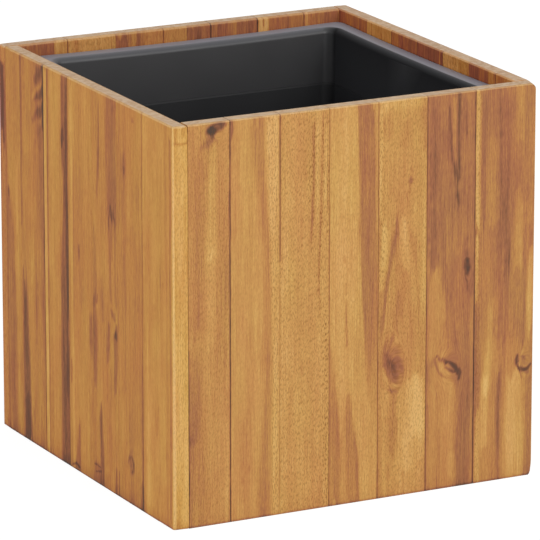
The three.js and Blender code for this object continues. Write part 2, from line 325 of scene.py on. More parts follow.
def bent_grain(across, down, knots):
    """Fibres part round a knot as a stream parts round a stone: x (1 - 1/r^2) outside it, and run in
    rings inside it."""
    bent = across.copy()
    for a, d, half_across, half_down in knots:
        x = across - a
        r = np.hypot(x / half_across, (down - d) / half_down)
        bent = bent - BEND * x / np.maximum(r, 1) ** 2 + BEND * half_across * np.maximum(1 - r, 0)
    return bent


def figure(across, depth, down, tone, strokes, knots, seed):
    """The shade of each point, 0 pale to 1 dark, and its place along and across the fibres in mm:
    tone plus hills plus each stroke's change, its edges wavering and its ends frayed."""
    fibre = bent_grain(across, down, knots)
    wave = hill_sum(WAVER_HILLS, across, down, seed)
    shade = tone + hill_sum(RING_HILLS, fibre, down, seed) + hill_sum(CLOUD_HILLS, across, down, seed)
    fray = hill_sum(FRAY_HILLS, fibre, down, seed)
    streaks = 1 + hill_sum(STREAK_HILLS, fibre, down, seed)
    for change, softness, *points in strokes:
        length = points[-1][1] - points[0][1]
        slip = min(FRAY_SHARE * abs(length), FRAY_MOST) * fray
        shade = shade + change * streaks * stroke(across + wave, down + slip, softness, points)
    own_place = BOARD_SPACING * (seed % BOARD_SPACES)
    grain = np.stack([fibre + own_place, depth, down + STAGGER * fibre], axis=1)
    return shade, grain


print("one hill:", round(float(hills(np.array([0.5]), np.array([0.5]), 1)[0]), 3))

# %% [markdown]
# ## Oiled acacia
# The staves are acacia, sawn, glued edge to edge, sanded and oiled. The oil deepens the colour and
# leaves a low sheen. The eye sees the shade of each stave, fine fibres along it, short dark pores
# that are many on some staves and few on others, a slow drift between golden and reddish, and on the
# sawn ends a dry, greyer face where the oil sank in. The shade picks a colour from a ramp, and the
# other attributes of a board say how porous, how dry, how deeply oiled and how golden it is. The
# fibres and pores are really thinner than a pixel here, so they are drawn a little coarser.

# %% Oiled acacia material
SHADES = {
    0.0: "#deb46e",
    0.25: "#cd9e59",
    0.5: "#bc874d",
    0.75: "#a26c4a",
    1.0: "#75503c",
    1.25: "#54443b",
}
END_GRAIN = ("#ceae8d", "#dfc6a9")
END_SHARE = 0.86
PORE_COLOUR = "#7d4f25"
PORE_EDGES = (0.46, 0.66)
FLECK_DEPTH = 0.11
DRIFT_RED = 0.008
DRIFT_GOLD = 0.001
# Sizes across and along the fibres in mm, and how much finer detail is added
FIBRES = (1.5, 60.0, 2.0)
PORES = (1.2, 3.6, 1.0)
FLECKS = (1.0, 9.0, 1.0)
DRIFT = (24.0, 120.0, 1.0)
SAWN_MOTTLE = (7.0, 7.0, 1.0)
# Noise stays near the middle of 0 to 1, so only this span of it is drawn out over the whole range
FIBRE_SPAN = (0.25, 0.75)
DRIFT_SPAN = (0.3, 0.7)
SAWN_SPAN = (0.35, 0.65)
SHEEN_SPREAD = 0.1
BUMP_STRENGTH = 0.35
BUMP_HEIGHT = 0.2
WOOD_IOR = 1.46
OIL_GLOSS = 0.04
SANDED_FIBRE, SANDED_ROUGHNESS = 0.13, 0.6


def oiled_wood(name, fibre_depth, roughness):
    """Shade plus fibre noise picks the colour from a ramp; pores are brown, the sawn ends drier."""
    material, tree = new_material(name)
    shade, grain, end, open_pores, oil, golden = [
        add_node(tree, "ShaderNodeAttribute", attribute_name=label)
        for label in ("shade", "grain", "end", "pores", "oil", "golden")
    ]
    noises = []
    for width, length, detail in (FIBRES, PORES, FLECKS, DRIFT, SAWN_MOTTLE):
        per_mm = (1 / width, 1 / width, 1 / length)
        stretch = {0: grain.outputs["Vector"], 1: per_mm}
        place = add_node(tree, "ShaderNodeVectorMath", stretch, operation="MULTIPLY").outputs[0]
        noise = {"Vector": place, "Scale": 1.0, "Detail": detail}
        noises.append(add_node(tree, "ShaderNodeTexNoise", noise).outputs[0])
    fibres, specks, flecks, drift, sawn = noises
    fine, fleck = [
        add_node(
            tree,
            "ShaderNodeMapRange",
            {
                "Value": noise,
                "From Min": FIBRE_SPAN[0],
                "From Max": FIBRE_SPAN[1],
                "To Min": -depth,
                "To Max": depth,
            },
        )
        for noise, depth in ((fibres, fibre_depth), (flecks, FLECK_DEPTH))
    ]
    pores = add_node(
        tree,
        "ShaderNodeMapRange",
        {
            "Value": specks,
            "From Min": PORE_EDGES[0],
            "From Max": PORE_EDGES[1],
            "To Max": open_pores.outputs["Fac"],
        },
        interpolation_type="SMOOTHSTEP",
    )
    streaked = add_node(tree, "ShaderNodeMath", {0: shade.outputs["Fac"], 1: fine.outputs[0]})
    flecked = add_node(tree, "ShaderNodeMath", {0: streaked.outputs[0], 1: fleck.outputs[0]})
    spread = add_node(
        tree, "ShaderNodeMapRange", {"Value": flecked.outputs[0], "From Max": max(SHADES)}
    )
    ramp = add_node(tree, "ShaderNodeValToRGB", {"Fac": spread.outputs[0]})
    set_stops(ramp, SHADES)
    hue = add_node(
        tree,
        "ShaderNodeMapRange",
        {
            "Value": drift,
            "From Min": DRIFT_SPAN[0],
            "From Max": DRIFT_SPAN[1],
            "To Min": 0.5 - DRIFT_RED,
            "To Max": 0.5 + DRIFT_GOLD,
        },
    )
    turned_hue = add_node(tree, "ShaderNodeMath", {0: hue.outputs[0], 1: golden.outputs["Fac"]})
    pored = add_node(
        tree,
        "ShaderNodeMix",
        {0: pores.outputs[0], 6: ramp.outputs["Color"], 7: linear(PORE_COLOUR)},
        data_type="RGBA",
    )
    drifted = add_node(
        tree,
        "ShaderNodeHueSaturation",
        {"Hue": turned_hue.outputs[0], "Saturation": oil.outputs["Fac"], "Color": pored.outputs[2]},
    )
    mottle = add_node(
        tree,
        "ShaderNodeMapRange",
        {"Value": sawn, "From Min": SAWN_SPAN[0], "From Max": SAWN_SPAN[1]},
    )
    dry = add_node(
        tree,
        "ShaderNodeMix",
        {0: mottle.outputs[0], 6: linear(END_GRAIN[0]), 7: linear(END_GRAIN[1])},
        data_type="RGBA",
    )
    dryness = add_node(
        tree, "ShaderNodeMath", {0: end.outputs["Fac"], 1: END_SHARE}, operation="MULTIPLY"
    )
    colour = add_node(
        tree,
        "ShaderNodeMix",
        {0: dryness.outputs[0], 6: drifted.outputs[0], 7: dry.outputs[2]},
        data_type="RGBA",
    )
    sheen = add_node(
        tree,
        "ShaderNodeMapRange",
        {"Value": fibres, "To Min": roughness - SHEEN_SPREAD, "To Max": roughness + SHEEN_SPREAD},
    )
    height = add_node(tree, "ShaderNodeMath", {0: fibres, 1: pores.outputs[0]}, operation="SUBTRACT")
    bump = add_node(
        tree,
        "ShaderNodeBump",
        {"Height": height.outputs[0], "Strength": BUMP_STRENGTH, "Distance": BUMP_HEIGHT * MM},
    )
    surface = add_node(
        tree,
        "ShaderNodeBsdfPrincipled",
        {
            "Base Color": colour.outputs[2],
            "Roughness": sheen.outputs[0],
            "Normal": bump.outputs[0],
            "IOR": WOOD_IOR,
            "Specular IOR Level": OIL_GLOSS,
        },
    )
    add_node(tree, "ShaderNodeOutputMaterial", {"Surface": surface.outputs[0]})
    return material


oiled_acacia = oiled_wood("oiled_acacia_sanded", SANDED_FIBRE, SANDED_ROUGHNESS)
print("material:", oiled_acacia.name)

# %% [markdown]
# ## Putting a piece into the scene
# Every surface ends the same way: its points go into a mesh in metres, numbers that the material
# reads become attributes, the piece is put on the body it rides on, and the solids it stands for are
# hidden. The four walls are alike, so each is drawn as the front wall and then turned into its place.

# %% Piece helper
SHARP_ANGLE = 20
TURNS = {"front": (1, 0), "right": (0, 1), "back": (-1, 0), "left": (0, -1)}


def add_piece(name, points, faces, material, body, nodes, attributes):
    """A mesh from points in mm and a list of faces, with one attribute per named array."""
    mesh = bpy.data.meshes.new(name)
    mesh.from_pydata((points * MM).tolist(), [], faces)
    for label, values in attributes.items():
        vector = values.ndim == 2
        layer = mesh.attributes.new(label, "FLOAT_VECTOR" if vector else "FLOAT", "POINT")
        layer.data.foreach_set("vector" if vector else "value", values.astype(np.float32).ravel())
    mesh.polygons.foreach_set("use_smooth", np.ones(len(mesh.polygons), bool))
    mesh.set_sharp_from_angle(angle=radians(SHARP_ANGLE))
    mesh.materials.append(material)
    piece = bpy.data.objects.new(name, mesh)
    bpy.context.collection.objects.link(piece)
    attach(piece, body)
    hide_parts(*nodes)
    return piece


def node_box(node):
    """A solid's low and high corner in mm."""
    return np.array([corner[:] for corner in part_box(node)]) / MM


def turned(points, side):
    """Turns points drawn on the front wall about Z, by a quarter for each side further round."""
    c, s = TURNS[side]
    x, y, z = points.T
    return np.stack([c * x - s * y, s * x + c * y, z], axis=1)


def wall_box(node, side):
    """A solid's low and high corner in mm, turned back to where it would lie on the front wall."""
    c, s = TURNS[side]
    x, y, z = node_box(node).T
    back = np.stack([c * x + s * y, c * y - s * x, z], axis=1)
    return back.min(axis=0), back.max(axis=0)


print("front stave 1 lies from", *[np.round(e, 1) for e in wall_box("front_stave_1", "front")])

# %% [markdown]
# ## The staves
# Seven staves make a wall. Across a wall, millimetres are counted from its left end, and down from
# its top. No two boards have the same figure, so it is laid on stroke by stroke, as a painter would
# grain a board. A stave has a tone and then its strokes: a change of shade, how soft the edges are,
# and points of (across, down, width). Pores is the strength of its open pores, and porous adds to it
# along further strokes. A knot is (across, down, half width, half height) and bends the fibres round
# it. Fine is a list of heights (down, reach) where the grid is doubled to carry small marks.

# %% Figure of the front wall
FEW_PORES = 0.08


def figured(tone, *strokes, pores=FEW_PORES, porous=(), knots=(), fine=()):
    """All that the figure of one stave is made from, under names."""
    return {
        "tone": tone,
        "strokes": strokes,
        "pores": pores,
        "porous": porous,
        "knots": knots,
        "fine": fine,
    }


FRONT = {
    1: figured(
        0.43,
        (0.6, 4, (43, 9, 8), (49, 6, 10), (56, 4, 9), (59, 3, 6)),
        (0.5, 3.5, (45, 10, 9), (44.5, 15, 6), (45, 21, 2)),
        (0.22, 6, (34, 26, 5), (40, 22, 10), (47, 22, 5)),
        (-0.16, 4, (46, 30, 8), (46, 90, 12), (45, 150, 11)),
        (-0.14, 4, (44, 150, 10), (43, 245, 9)),
        (0.12, 7, (27, 30, 14), (28, 120, 14), (27, 220, 10)),
        (0.15, 6, (25, 250, 8), (25, 290, 14), (24, 340, 12)),
        (0.12, 5, (21, 340, 8), (21, 440, 7)),
        (-0.15, 2, (63.5, 220, 2), (63.5, 285, 3)),
        (-0.12, 3, (62.5, 320, 3), (62, 440, 5)),
        pores=0.3,
        knots=[(49, 8, 9, 14)],
        fine=[(12, 24)],
    ),
    2: figured(
        0.37,
        (0.2, 7, (99, 0, 13), (102, 50, 12), (105.5, 90, 11), (107, 120, 10), (108.5, 150, 10),
         (110, 190, 9.5), (110.5, 330, 9.5), (106, 440, 11)),
        (-0.19, 3, (115, 0, 17), (116, 75, 13), (118.5, 150, 11), (120, 250, 8), (120, 440, 8)),
        (0.4, 3, (68, 2, 3), (68.5, 12, 3.5), (67.5, 24, 1)),
        (0.08, 6, (82, 330, 8), (82, 420, 8)),
        pores=0.14,
        porous=[(0.3, 4, (116, 0, 14), (118, 120, 12), (120, 250, 9), (120, 440, 9))],
    ),
    3: figured(
        0.31,
        (0.32, 2, (166, 14, 2), (166.5, 25, 4), (165.5, 45, 3), (166, 80, 2.6), (164.5, 120, 2.2),
         (162.5, 150, 1)),
        (0.3, 2, (176.5, 18, 1.6), (176.5, 60, 2.4), (174.5, 110, 2.6), (174, 130, 3),
         (172.5, 175, 2), (173.5, 225, 1)),
        (0.25, 1.6, (183, 55, 1.5), (183, 120, 1.5)),
        (-0.12, 3, (170, 25, 3), (170, 130, 3)),
        (-0.12, 3, (180, 20, 4), (180, 100, 4)),
        (0.1, 10, (157, 10, 14), (157, 70, 14)),
        (0.2, 2, (151, 275, 2), (151, 290, 2)),
        (0.2, 1.5, (174, 400, 1.5), (174, 430, 1.5)),
        pores=0.42,
        porous=[
            (0.4, 2, (166, 12, 2.5), (166.5, 25, 4.5), (165.5, 60, 3), (165, 110, 2.6),
             (162, 155, 1)),
            (0.5, 2, (161.5, 50, 1.5), (161.5, 72, 2.5), (160, 100, 1.5)),
            (0.4, 2, (176.5, 15, 2), (176.5, 60, 3), (174, 125, 3.5), (172.5, 180, 2.5),
             (173, 230, 1)),
            (0.4, 2, (183, 50, 2), (183, 140, 2)),
            (0.3, 3, (180, 220, 5), (180, 440, 5)),
        ],
    ),
    4: figured(
        0.28,
        (0.35, 2, (228, -5, 21), (230.5, 120, 21), (233.5, 200, 19), (235, 250, 17, 0.75),
         (236, 300, 14, 0.5), (239, 350, 9, 0.1)),
        (0.32, 1.5, (203, 163, 1), (203, 170, 2)),
        (0.32, 1.5, (204, 195, 1.5), (204, 207, 1.5)),
        (0.38, 1.8, (205, 212, 1.5), (205, 235, 2.2), (206.5, 258, 1.5)),
        (0.3, 4, (186, 250, 3), (187.5, 300, 8), (190, 350, 14), (191, 390, 14), (192, 440, 14)),
        (0.24, 4, (207, 315, 4), (207.5, 340, 10), (212, 390, 13), (215, 440, 13)),
        (0.18, 1.8, (213, 345, 1.5), (215, 365, 2), (218, 390, 2.5), (220, 437, 2.5)),
        (0.12, 6, (199, 360, 6), (201, 400, 12), (203, 440, 14)),
        pores=0.22,
    ),
    5: figured(
        0.39,
        (-0.14, 8, (250, 3, 12), (274, 4, 14), (298, 3, 12)),
        (0.12, 8, (254, 20, 12), (254, 35, 14)),
        (0.1, 8, (277, 28, 12), (277, 45, 14)),
        (0.35, 2.5, (282, 87, 3), (282, 90, 5.5), (282, 93, 3)),
        (0.16, 3, (281, 96, 3), (278, 105, 3), (281, 117, 2)),
        (0.3, 3, (268, 125, 2), (264, 150, 4), (257, 195, 5), (251.5, 225, 5), (245, 264, 2)),
        (-0.2, 4, (273, 130, 6), (275, 160, 13), (277, 185, 8)),
        (-0.22, 4, (252, 140, 8), (250, 175, 10), (247, 205, 5)),
        (-0.16, 3, (246, 20, 4), (246, 130, 4)),
        (0.12, 3, (283, 140, 3), (288, 170, 4), (293, 225, 4), (297, 300, 3)),
        (0.14, 5, (269, 212, 4), (268, 230, 8), (265, 252, 6)),
        (-0.18, 3, (299, 60, 5), (299, 240, 6)),
        (0.24, 8, (261, 266, 10), (260, 280, 24), (262, 295, 26), (263, 308, 20), (263, 318, 8)),
        (0.2, 6, (257, 283, 8), (260, 291, 14), (264, 301, 10), (265, 309, 4)),
        (0.16, 3, (258, 287, 3), (262, 293, 4), (265, 300, 3)),
        (0.15, 2.5, (268, 288, 2), (275, 299, 3), (274, 312, 3), (268, 320, 3), (256, 321, 3)),
        (0.12, 2.5, (256, 321, 3), (249, 314, 3), (247, 302, 2)),
        (-0.22, 3, (251, 296, 2), (252, 303, 4), (257, 312, 4), (264, 315, 3)),
        (-0.12, 2, (270, 299, 2.5), (271, 306, 2.5)),
        (0.2, 6, (261, 320, 8), (262, 350, 10), (262, 380, 11), (261, 395, 6)),
        (0.24, 1.5, (266.5, 350, 1.2), (267, 368, 1.6)),
        (0.12, 4, (257, 405, 6), (257, 418, 6)),
        (-0.22, 8, (290, 315, 16), (290, 365, 20)),
        (-0.14, 6, (280, 378, 12), (281, 405, 12)),
        (-0.1, 8, (275, 330, 50), (275, 430, 54)),
        pores=0.34,
        knots=[(262, 295, 13, 32), (282, 90, 4, 12)],
        fine=[(294, 28), (95, 16)],
        porous=[(0.2, 4, (247, 20, 8), (247, 200, 8))],
    ),
    6: figured(
        0.68,
        (0.06, 4, (308, 0, 8), (308, 180, 8)),
        (0.04, 9, (331, 0, 50), (331, 140, 50)),
        (0.3, 3, (329, 20, 2), (330, 40, 3), (334, 75, 3.5), (340, 108, 3.5), (338.5, 128, 1)),
        (0.28, 2.5, (341, 0, 3), (341, 25, 3), (341, 75, 3), (342, 88, 1.5)),
        (-0.18, 3, (334, 0, 5), (335, 75, 3)),
        (0.12, 4, (349, 10, 6), (349, 45, 6)),
        (-0.15, 2, (327, 80, 2), (327, 190, 2)),
        (-0.25, 6, (313, 198, 12), (315, 235, 22), (315, 286, 22)),
        (-0.24, 7, (318, 306, 22), (321, 330, 34), (322, 360, 36), (322, 440, 34)),
        (-0.12, 4, (334, 405, 10), (335, 425, 10)),
        (0.12, 2, (316, 325, 2), (316, 440, 2)),
        (-0.15, 3, (358.5, 225, 4), (358.5, 440, 5)),
        (0.42, 4, (352, 188, 5), (352, 195, 8), (352, 201, 5)),
        (0.18, 4, (350, 165, 2), (351, 187, 5)),
        (0.14, 4, (351, 205, 5), (352, 222, 2)),
        (0.4, 2.5, (316, 291, 2), (320, 293.5, 4.5), (325, 296, 4.5), (331, 299, 5), (337, 303.5, 6),
         (341, 308.5, 5.5), (344, 313.5, 5), (343, 319, 3)),
        (0.36, 2, (326.5, 303.5, 2), (331, 307, 3), (335, 309.5, 3), (338, 310, 1.5)),
        (0.32, 2, (316, 290, 2), (313.5, 293, 3), (313.5, 297, 3), (316, 303, 2.8), (319, 308, 2.8),
         (323.5, 313, 2.5), (329, 316, 1.5)),
        (-0.07, 3, (318, 298, 4), (323, 305, 6), (329, 312, 5)),
        (0.04, 4, (340, 319, 4), (342.5, 327, 6), (344, 335, 8), (346, 360, 12), (346, 440, 12)),
        pores=0.12,
        knots=[(329, 304, 14, 22), (352, 195, 5, 16)],
        fine=[(306, 28), (195, 18)],
    ),
    7: figured(
        0.6,
        (-0.42, 2.5, (364, 0, 6), (364, 100, 6.5), (364.5, 148, 6)),
        (-0.35, 2.5, (364, 163, 4), (364, 235, 3)),
        (-0.35, 3, (366, 355, 5), (366, 440, 7.5)),
        (0.1, 3, (372.5, 10, 5), (372.5, 140, 5)),
        (-0.12, 5, (383, 60, 10), (383, 150, 12)),
        (0.1, 5, (397, 15, 13), (397, 200, 13)),
        (-0.14, 4, (416, 0, 11), (416, 60, 9)),
        (-0.18, 4, (415, 120, 9), (415, 200, 10)),
        (-0.32, 3, (431, 190, 5), (430.5, 230, 8), (431, 275, 4)),
        (0.12, 3, (423, 160, 5), (423, 280, 5)),
        (-0.18, 4, (382, 240, 7), (380, 290, 9), (378, 340, 10)),
        (0.1, 2, (405, 160, 2), (403, 200, 2.5), (401, 240, 2.5), (397, 290, 2)),
        (0.52, 2, (416, 302, 3), (415, 306.5, 5), (416, 312, 5), (418.5, 316, 5), (422.5, 318.5, 4.5),
         (427.5, 317.5, 4), (432, 313, 2.5)),
        (0.25, 2, (420.5, 303, 2), (424, 304, 2.5), (425, 307, 2)),
        (0.15, 4, (422, 306, 6), (424, 311, 5)),
        # painted glint: the small pale spot in the knot stands in for a highlight
        (-0.7, 1.5, (417.5, 310.5, 1.2), (418.5, 313.5, 1.6)),
        (0.22, 3, (424, 321, 4), (428, 322, 4)),
        (0.28, 3, (393, 312, 3), (393, 330, 5), (392, 345, 6), (392, 400, 4), (393, 440, 3)),
        (-0.22, 4, (375, 325, 9), (375, 400, 9)),
        (-0.3, 6, (412, 328, 20), (412, 400, 26), (412, 440, 24)),
        (0.05, 9, (398, 0, 60), (398, 140, 60)),
        (0.06, 4, (429, 330, 9), (429, 440, 9)),
        (-0.1, 8, (400, 310, 60), (400, 430, 60)),
        pores=0.14,
        knots=[(424, 310, 8, 16)],
        fine=[(311, 20)],
        porous=[(0.25, 3, (365, 0, 7), (365, 440, 7))],
    ),
}
print("front wall:", sum(len(stave["strokes"]) for stave in FRONT.values()), "strokes")

# %% [markdown]
# The left wall is darker and more streaked than the front. Broad bands of heartwood run down several
# of its boards, and some widen towards the ground.

# %% Figure of the left wall
LEFT = {
    1: figured(
        0.48,
        (-0.14, 4, (43, 130, 7), (44, 200, 6)),
        (0.18, 4, (22, 160, 4), (22, 164, 6), (22, 168, 4)),
        (0.2, 6, (22, 175, 10), (23.5, 215, 24), (26.5, 440, 26)),
        (-0.1, 3, (44, 215, 6), (47, 440, 6)),
    ),
    2: figured(
        0.52,
        (0.25, 4, (57, 0, 7), (57, 60, 6), (56, 130, 4), (55, 180, 3)),
        (0.1, 4, (66, 0, 6), (66, 60, 4)),
        (0.24, 6, (113, 4, 8), (104, 12, 14), (97, 22, 10)),
        (0.28, 4, (115, 28, 8), (108, 34, 10), (99, 40, 6), (92, 44, 2)),
        (0.27, 5, (115, 48, 10), (105, 55, 11), (95, 62, 8), (87, 68, 3)),
        (0.18, 5, (114, 66, 6), (106, 72, 8), (103, 80, 4)),
        (0.1, 7, (105, 4, 18), (105, 84, 18)),
        (-0.14, 4, (110, 23, 4), (99, 31, 6), (89, 40, 4)),
        (0.45, 3, (114.5, 2, 4), (114.5, 30, 6), (114, 55, 6), (114.5, 78, 3)),
        (0.16, 5, (110, 72, 12), (110, 130, 10), (111, 300, 8), (111, 440, 6)),
        (0.1, 3, (88.5, 80, 3), (92, 200, 4), (92.5, 330, 3)),
        (0.36, 5, (61, 235, 4), (62, 250, 8), (63.5, 300, 12), (65, 360, 15), (67.5, 440, 22)),
        (0.15, 4, (66, 385, 8), (67.5, 435, 14)),
        (-0.1, 5, (78.5, 240, 12), (80.5, 400, 14)),
        (0.16, 4, (104, 395, 5), (104, 440, 10)),
    ),
    3: figured(
        0.5,
        (-0.24, 2, (120, 0, 8), (120.5, 440, 7)),
        (0.28, 2.5, (125.5, 0, 4), (125.5, 60, 4), (125.5, 220, 3), (125.5, 440, 3.5)),
        (-0.08, 8, (145, 0, 26), (147.5, 440, 24)),
        (0.4, 3, (170, -5, 16), (169, 30, 16), (168, 70, 17), (170, 100, 12), (170, 135, 11),
         (168.5, 170, 14), (167, 220, 18), (166.5, 300, 20), (166.5, 445, 21)),
        (0.2, 2.5, (174, 0, 3), (174, 130, 4), (173.5, 300, 6), (172, 340, 7), (171, 360, 3)),
        (0.2, 3, (164, 63, 6), (164, 72, 8), (163, 80, 4)),
        (0.1, 4, (158, 60, 4), (157, 200, 5), (154, 300, 5), (154, 440, 5)),
    ),
    4: figured(
        0.47,
        (0.2, 3, (182.5, 316, 3), (183, 325, 6), (183, 340, 4)),
        (-0.14, 3, (186, 0, 7), (187, 440, 6)),
        (0.2, 2, (191, 60, 1.5), (190.5, 170, 2.5), (190, 240, 3), (187, 280, 2)),
        (0.35, 2.5, (204, 184, 2.5), (204, 190, 4), (204, 199, 2)),
        (0.18, 5, (232, 255, 6), (232, 285, 10), (234, 300, 4)),
        (0.28, 4, (203, 385, 4), (200, 410, 9), (196, 440, 16)),
        (-0.14, 3, (224, 340, 4), (225, 420, 4)),
        (0.4, 1.5, (183, 436, 2), (192, 432, 3), (201, 435, 2)),
        fine=[(434, 8)],
    ),
    5: figured(
        0.52,
        (0.25, 2.5, (256, 5, 3), (255, 60, 4), (252, 90, 4), (250, 120, 2)),
        (0.24, 5, (285, -5, 27), (286, 60, 26), (287, 130, 22)),
        (0.2, 4, (284, 130, 12), (283, 180, 8), (283, 215, 6), (284, 232, 4)),
        (0.2, 3, (295, 130, 8), (295, 180, 5), (295.5, 230, 4)),
        (0.16, 6, (243, 160, 10), (243, 230, 12)),
        (0.25, 5, (241, 225, 8), (242, 250, 14), (243, 290, 14), (244, 330, 6)),
        (0.3, 2.5, (250, 228, 3), (249, 235, 3)),
        (0.14, 5, (261, 215, 5), (263, 235, 8), (264, 250, 4)),
        (0.22, 4, (279, 255, 6), (276, 275, 9), (274, 295, 6)),
        (0.25, 4, (285, 236, 4), (289, 240, 7), (292, 244, 4)),
        (0.36, 4, (297, 250, 5), (296.5, 255, 8), (295, 262, 7)),
        (0.28, 4, (294, 262, 10), (294, 285, 9), (293, 310, 8), (293, 325, 4)),
        (0.38, 4, (257.5, 345, 4), (257, 365, 8), (258.5, 385, 8), (259, 410, 9), (259, 440, 11)),
        (0.2, 5, (247, 424, 16), (247, 440, 18)),
        (0.3, 1.5, (239, 419.5, 2), (246, 419, 2), (254, 420, 1.5)),
        (0.3, 1.5, (242, 428, 1), (248, 426, 2), (255, 424, 2)),
        (0.3, 3, (295, 412, 3), (294.5, 425, 5), (294, 440, 6)),
        fine=[(252, 14), (425, 14)],
    ),
    6: figured(
        0.51,
        (0.3, 2.5, (338, 13.5, 3), (341, 14, 2.5)),
        (0.2, 6, (317, 56, 6), (317, 66, 10), (317.5, 78, 6)),
        (0.22, 3, (317.5, 70, 3), (318, 76, 3)),
        (0.1, 5, (319, 84, 6), (321, 130, 4)),
        (0.2, 5, (331, 385, 8), (331, 395, 16), (332, 405, 8)),
        (0.26, 3, (324, 393, 3), (327, 387.5, 4), (333, 388.5, 3.5), (337, 394, 4), (338, 401, 4),
         (334, 405, 3)),
        (0.16, 3, (330, 392, 3), (331, 397, 4)),
        (0.1, 8, (331, 340, 8), (331, 380, 10)),
        (0.12, 6, (332, 408, 8), (333, 440, 12)),
        (0.2, 3, (360, 290, 2), (360, 370, 4), (360, 440, 5)),
        (0.2, 5, (358, 410, 5), (358, 440, 10)),
        (0.3, 2, (301, 415, 3), (301.5, 440, 5)),
        fine=[(396, 16), (70, 14)],
    ),
    7: figured(
        0.4,
        (-0.1, 3, (371.5, 230, 6), (373.5, 440, 7)),
        (-0.1, 4, (391, 40, 9), (391.5, 60, 8)),
        (0.25, 1.5, (403.5, 150, 1.5), (404, 180, 1.5)),
        (0.14, 4, (417, 0, 8), (419.5, 210, 6), (420, 440, 6)),
        (0.24, 2.5, (428.5, 0, 5), (428, 220, 4), (427, 440, 4)),
        (0.14, 1.6, (389, 318, 1), (393, 335, 2), (395, 345, 1.5)),
        (0.14, 1.6, (400, 310, 1), (397, 330, 2), (395, 345, 1.5)),
        (0.12, 1.8, (403, 370, 1), (401, 400, 2), (394, 432, 1.5)),
        # pale line down the rounded near corner: partly wear, partly a painted highlight
        (-0.2, 2, (435, 0, 3), (434.5, 220, 4), (434, 440, 6)),
        (-0.26, 2, (445, 0, 15), (445, 440, 15)),
        (0.35, 1.5, (436, 18, 2), (444, 19.5, 2.2), (452, 18.5, 2)),
        fine=[(19, 8)],
    ),
}
print("left wall:", sum(len(stave["strokes"]) for stave in LEFT.values()), "strokes")

# %% [markdown]
# The back and right walls show only the top of their inner faces, so their strokes are set there.
# Lower down and on their outer faces, each stave gets a few streaks of chance.

# %% Figure of the back and right walls
BACK = {
    1: figured(0.66, (-0.35, 2, (59, 0, 6), (59, 120, 5)), pores=0.12),
    2: figured(
        0.62,
        (-0.55, 3, (115, 0, 13), (116, 160, 10)),
        (0.2, 1.5, (83.5, 0, 1.5), (84, 140, 1.5)),
        pores=0.12,
    ),
    3: figured(0.72, pores=0.12),
    4: figured(
        0.42,
        (0.35, 1.5, (210, 0, 1.5), (210, 120, 1.5)),
        (0.08, 3, (192, 0, 36), (192, 120, 36)),
        (0.25, 3, (195, 0, 28), (195, 120, 26)),
        (0.2, 3, (197, 0, 9), (200, 60, 6)),
        pores=0.2,
    ),
    5: figured(
        0.42,
        (0.28, 3, (294, 0, 22), (293, 150, 18)),
        (0.25, 3, (270, 0, 10), (270, 150, 8)),
        pores=0.2,
    ),
    6: figured(0.32, pores=0.3),
    7: figured(
        0.7,
        (-0.4, 3, (367, 0, 15), (367, 160, 12)),
        (0.35, 3, (443, 21, 8), (443, 45, 11), (443, 80, 10), (443.5, 100, 6)),
        (-0.25, 4, (444, 0, 14), (444, 14, 14)),
        (-0.25, 4, (444, 116, 14), (444, 440, 14)),
        pores=0.12,
    ),
}
RIGHT = {
    1: figured(0.42, pores=0.2),
    2: figured(
        0.62,
        (0.15, 3, (79, 0, 9), (79, 200, 8)),
        (-0.3, 3, (66, 0, 12), (66, 200, 12)),
        (0.16, 4, (106, 0, 24), (106, 200, 20)),
        pores=0.12,
    ),
    3: figured(0.42, (-0.22, 5, (156, 0, 36), (156, 200, 30)), pores=0.35),
    4: figured(0.82, (-0.4, 2, (182, 0, 4), (182, 200, 4)), pores=0.1),
    5: figured(
        0.58,
        (0.25, 3, (269, 0, 14), (268, 160, 12)),
        (0.2, 4, (246, 0, 16), (246, 160, 14)),
        pores=0.2,
    ),
    6: figured(
        0.27,
        (0.25, 2, (340, 0, 2), (339, 140, 2)),
        (0.2, 2, (318, 0, 3), (320, 160, 2)),
        pores=0.2,
    ),
    7: figured(0.7, pores=0.12),
}
STREAKS_PER_STAVE = 5
STREAK_TOP = (30, 300)
STREAK_LENGTH = (90, 260)
STREAK_WIDTH = (2, 12)
STREAK_CHANGE = (-0.2, 0.28)
STREAK_SWAY = (-6, 6)
STREAK_SOFTNESS = 3
STREAK_TIP = 1


def chance_streaks(left, right, seed):
    """A few long streaks, pale or dark, at random places between a stave's two joints."""
    rng = np.random.default_rng(seed)
    ranges = ((left, right), STREAK_TOP, STREAK_LENGTH, STREAK_WIDTH, STREAK_CHANGE)
    draws = [rng.uniform(*ends, STREAKS_PER_STAVE) for ends in ranges]
    streaks = []
    for a, top, length, width, change in zip(*draws):
        sway = rng.uniform(*STREAK_SWAY)
        start = (a, top, STREAK_TIP)
        middle = (a + sway, top + length / 2, width)
        stop = (a + sway / 2, top + length, STREAK_TIP)
        streaks.append((change, STREAK_SOFTNESS, start, middle, stop))
    return streaks


print("back and right walls:", len(BACK) + len(RIGHT), "staves")

# %% [markdown]
# Each stave takes its size and place from its solid. Glued joints are sanded flush, so a stave's
# edge is hardly eased there and reads as a hairline, but some joints have opened. The top edges were
# eased with sandpaper, and lifting the pot has rubbed some of them rounder on the inside. The last
# stave of a wall covers a corner. Its free edge is sanded round, and on the near corner the rounding
# grows towards the ground. Every point has its own easing along each axis, so one pass of the board
# helper can make all of these edges.

# %% Grid and easing of a stave
LAST_STAVE = 7
STAVE_CELL = (1.4, 3.5, 2.8)
STAVE_EASING = 0.7
TOP_EASING = 2.2
TOP_ROUND = 1.6
INNER_ROUND = {"front": 1.6, "right": 1.6, "back": 3.5, "left": 3.5}
GLUED_EASING = 0.1
OPEN_EASING = 0.4
SEAM_REACH = 0.6
